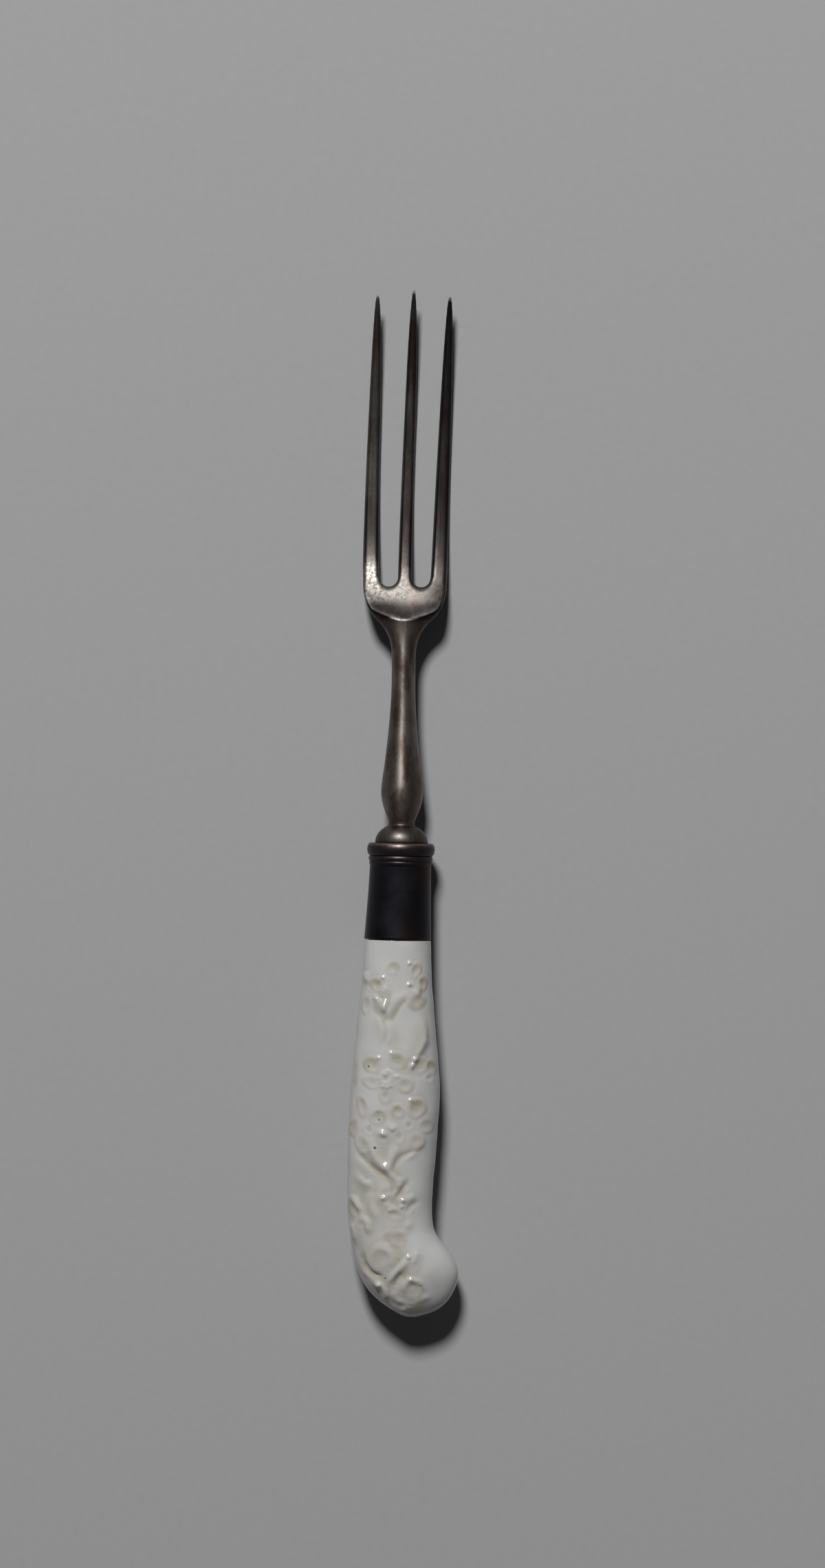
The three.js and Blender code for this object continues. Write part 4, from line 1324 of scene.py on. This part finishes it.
def grip_surface(probe, butt_y):
    """Rings of the grip's outside with its relief, and the shares of thick glaze and of pits."""
    knob_y = butt_y + KNOB_ROUNDING
    angles = np.linspace(BUTT_CAP_ANGLE, math.pi / 2, int(KNOB_ROUNDING * math.pi / 2 / GRIP_STEP))
    butt = knob_y - KNOB_ROUNDING * np.cos(angles)
    butt[0] += MARGIN
    body = np.arange(knob_y, shoulder_y - MARGIN, GRIP_STEP)[1:]
    stations = np.concatenate([butt, body, [shoulder_y - 3 * MARGIN, shoulder_y - MARGIN]])
    extents = np.array([probe.outside(y) for y in stations])
    extents = np.stack([smoothed(column, GRIP_SMOOTHING) for column in extents.T], axis=1)
    spread = 1 - smoothstep(0, SHOULDER_SPREAD_LENGTH, shoulder_y - stations)
    extents[:, 0] -= SHOULDER_SPREAD_LEFT * spread
    extents[:, 1] += SHOULDER_SPREAD_RIGHT * spread
    rings = section_rings(stations, extents, GRIP_SECTION_POWER)

    x = rings[..., 0]
    s = -rings[..., 1] - FERRULE_LENGTH
    seam = smoothstep(SEAM_PLAIN, SEAM_FULL, np.abs(rings[..., 2]) / extents[:, 2, None])
    upper = (rings[..., 2] > 0) * seam
    relief, tint = relief_of(x, s)
    relief *= seam
    tint *= seam
    pits = pits_of(x, s) * upper
    height = blurred(relief, GLAZE_BLUR) + WAVE_HEIGHT * waves_of(x, s)
    height += drops_of(x, s) * upper - PIT_DEPTH * pits
    height *= smoothstep(0.0, RELIEF_START, s)
    outer = rings + outward(rings) * height[..., None]
    outer[..., 2] = np.maximum(outer[..., 2], TABLE_Z)

    hollow = blurred(height, POOL_BLUR) - height
    pool = np.maximum(POOL_SHARE * smoothstep(*POOL_DEPTH, hollow), tint)
    stained = STAIN_SHARE * smoothstep(*STAIN_HEIGHT, blurred(np.abs(relief), STAIN_BLUR))
    pool = np.clip(pool + stained * (1 - pool), 0, 1)
    return outer, pool, pits


def grip_hollow(probe, neck_top_y):
    """Rings of the neck's outside, and then of the hollow from its mouth to its far end."""
    neck = np.linspace(shoulder_y + MARGIN, neck_top_y - MARGIN, NECK_STEPS)
    neck_rings = section_rings(neck, [probe.outside(y) for y in neck], 2)
    axis_x = neck_rings[..., 0].mean()
    mouth = [neck_top_y - MARGIN, shoulder_y]
    mouth_rings = section_rings(mouth, [probe.inside(y, axis_x) for y in mouth], 2)
    end_y = probe.hit((axis_x, shoulder_y, OFF_MIDDLE), (0, -1, 0)).y + MARGIN
    cavity = np.arange(shoulder_y - CAVITY_STEP, end_y, -CAVITY_STEP)
    cavity = np.append(cavity, end_y)
    cavity_rings = section_rings(cavity, [probe.inside(y, axis_x) for y in cavity], GRIP_SECTION_POWER)
    return np.concatenate([neck_rings, mouth_rings, cavity_rings])


def grip_mesh():
    low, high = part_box("handle")
    probe = Probe("handle")
    outer, pool, pits = grip_surface(probe, (low.y - ORIGIN[1]) / MM)
    inner = grip_hollow(probe, (high.y - ORIGIN[1]) / MM)
    points, faces = skin(np.concatenate([outer, inner]))
    mesh = mesh_from("grip", points, faces)
    plain = np.zeros(len(points) - pool.size)
    add_attribute(mesh, "pool", np.append(pool.ravel(), plain))
    add_attribute(mesh, "speck", np.append(pits.ravel(), plain))
    return mesh


# Stage
def add_camera():
    data = bpy.data.cameras.new("camera")
    data.sensor_width = SENSOR
    data.lens = SENSOR * CAMERA_DISTANCE / PICTURE_HEIGHT
    camera = add_object("camera", data)
    place = Matrix.Translation((*PICTURE_MIDDLE, ORIGIN[2] + CAMERA_DISTANCE))
    camera.matrix_world = place @ Matrix.Rotation(PICTURE_LEAN, 4, "Z")
    bpy.context.scene.camera = camera


def add_light():
    data = bpy.data.lights.new("key", "AREA")
    data.shape = "DISK"
    data.size = KEY_SIZE
    data.energy = KEY_POWER
    key = add_object("key", data)
    aside = math.cos(KEY_ELEVATION)
    towards = Vector(
        (-math.sin(KEY_AZIMUTH) * aside, math.cos(KEY_AZIMUTH) * aside, math.sin(KEY_ELEVATION))
    )
    key.location = towards * KEY_DISTANCE
    key.rotation_euler = towards.to_track_quat("Z", "Y").to_euler()


def add_world():
    """A dim studio. Reflections and the camera see it at levels of their own."""
    s = Shader("studio", bpy.data.worlds, "Background")
    ray = s.node("LightPath").outputs
    level = s.ramp(ray["Is Glossy Ray"], 0.0, 1.0, WORLD_LEVEL, REFLECTED_LEVEL)
    level = s.ramp(ray["Is Camera Ray"], 0.0, 1.0, level, BACKDROP_LEVEL)
    bpy.context.scene.world = s.set(Color=(1, 1, 1, 1), Strength=level)


def add_floor():
    half = FLOOR_SIZE / 2
    corners = np.array([(-half, -half, 0), (half, -half, 0), (half, half, 0), (-half, half, 0)])
    mesh = mesh_from("floor", corners, [[0, 1, 2, 3]])
    mesh.materials.append(floor_material())
    add_object("floor", mesh)


bpy.context.scene.view_settings.view_transform = "Standard"
add_camera()
add_light()
add_world()
add_floor()

steel = steel_material()
silver = silver_material()
add_piece("steel_head", head_mesh(), steel, "steel", "fork_head")
add_piece("silver_cap", cap_mesh(), silver, "ferrule", "ferrule_cap")
add_piece("silver_collar", collar_mesh(), silver, "ferrule", "ferrule_collar")
add_piece("silver_band", band_mesh(), silver, "ferrule", "ferrule_band")
add_piece("porcelain_grip", grip_mesh(), porcelain_material(), "porcelain", "handle")
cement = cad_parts["cement_core"]
cement.data.materials.clear()
cement.data.materials.append(cement_material())
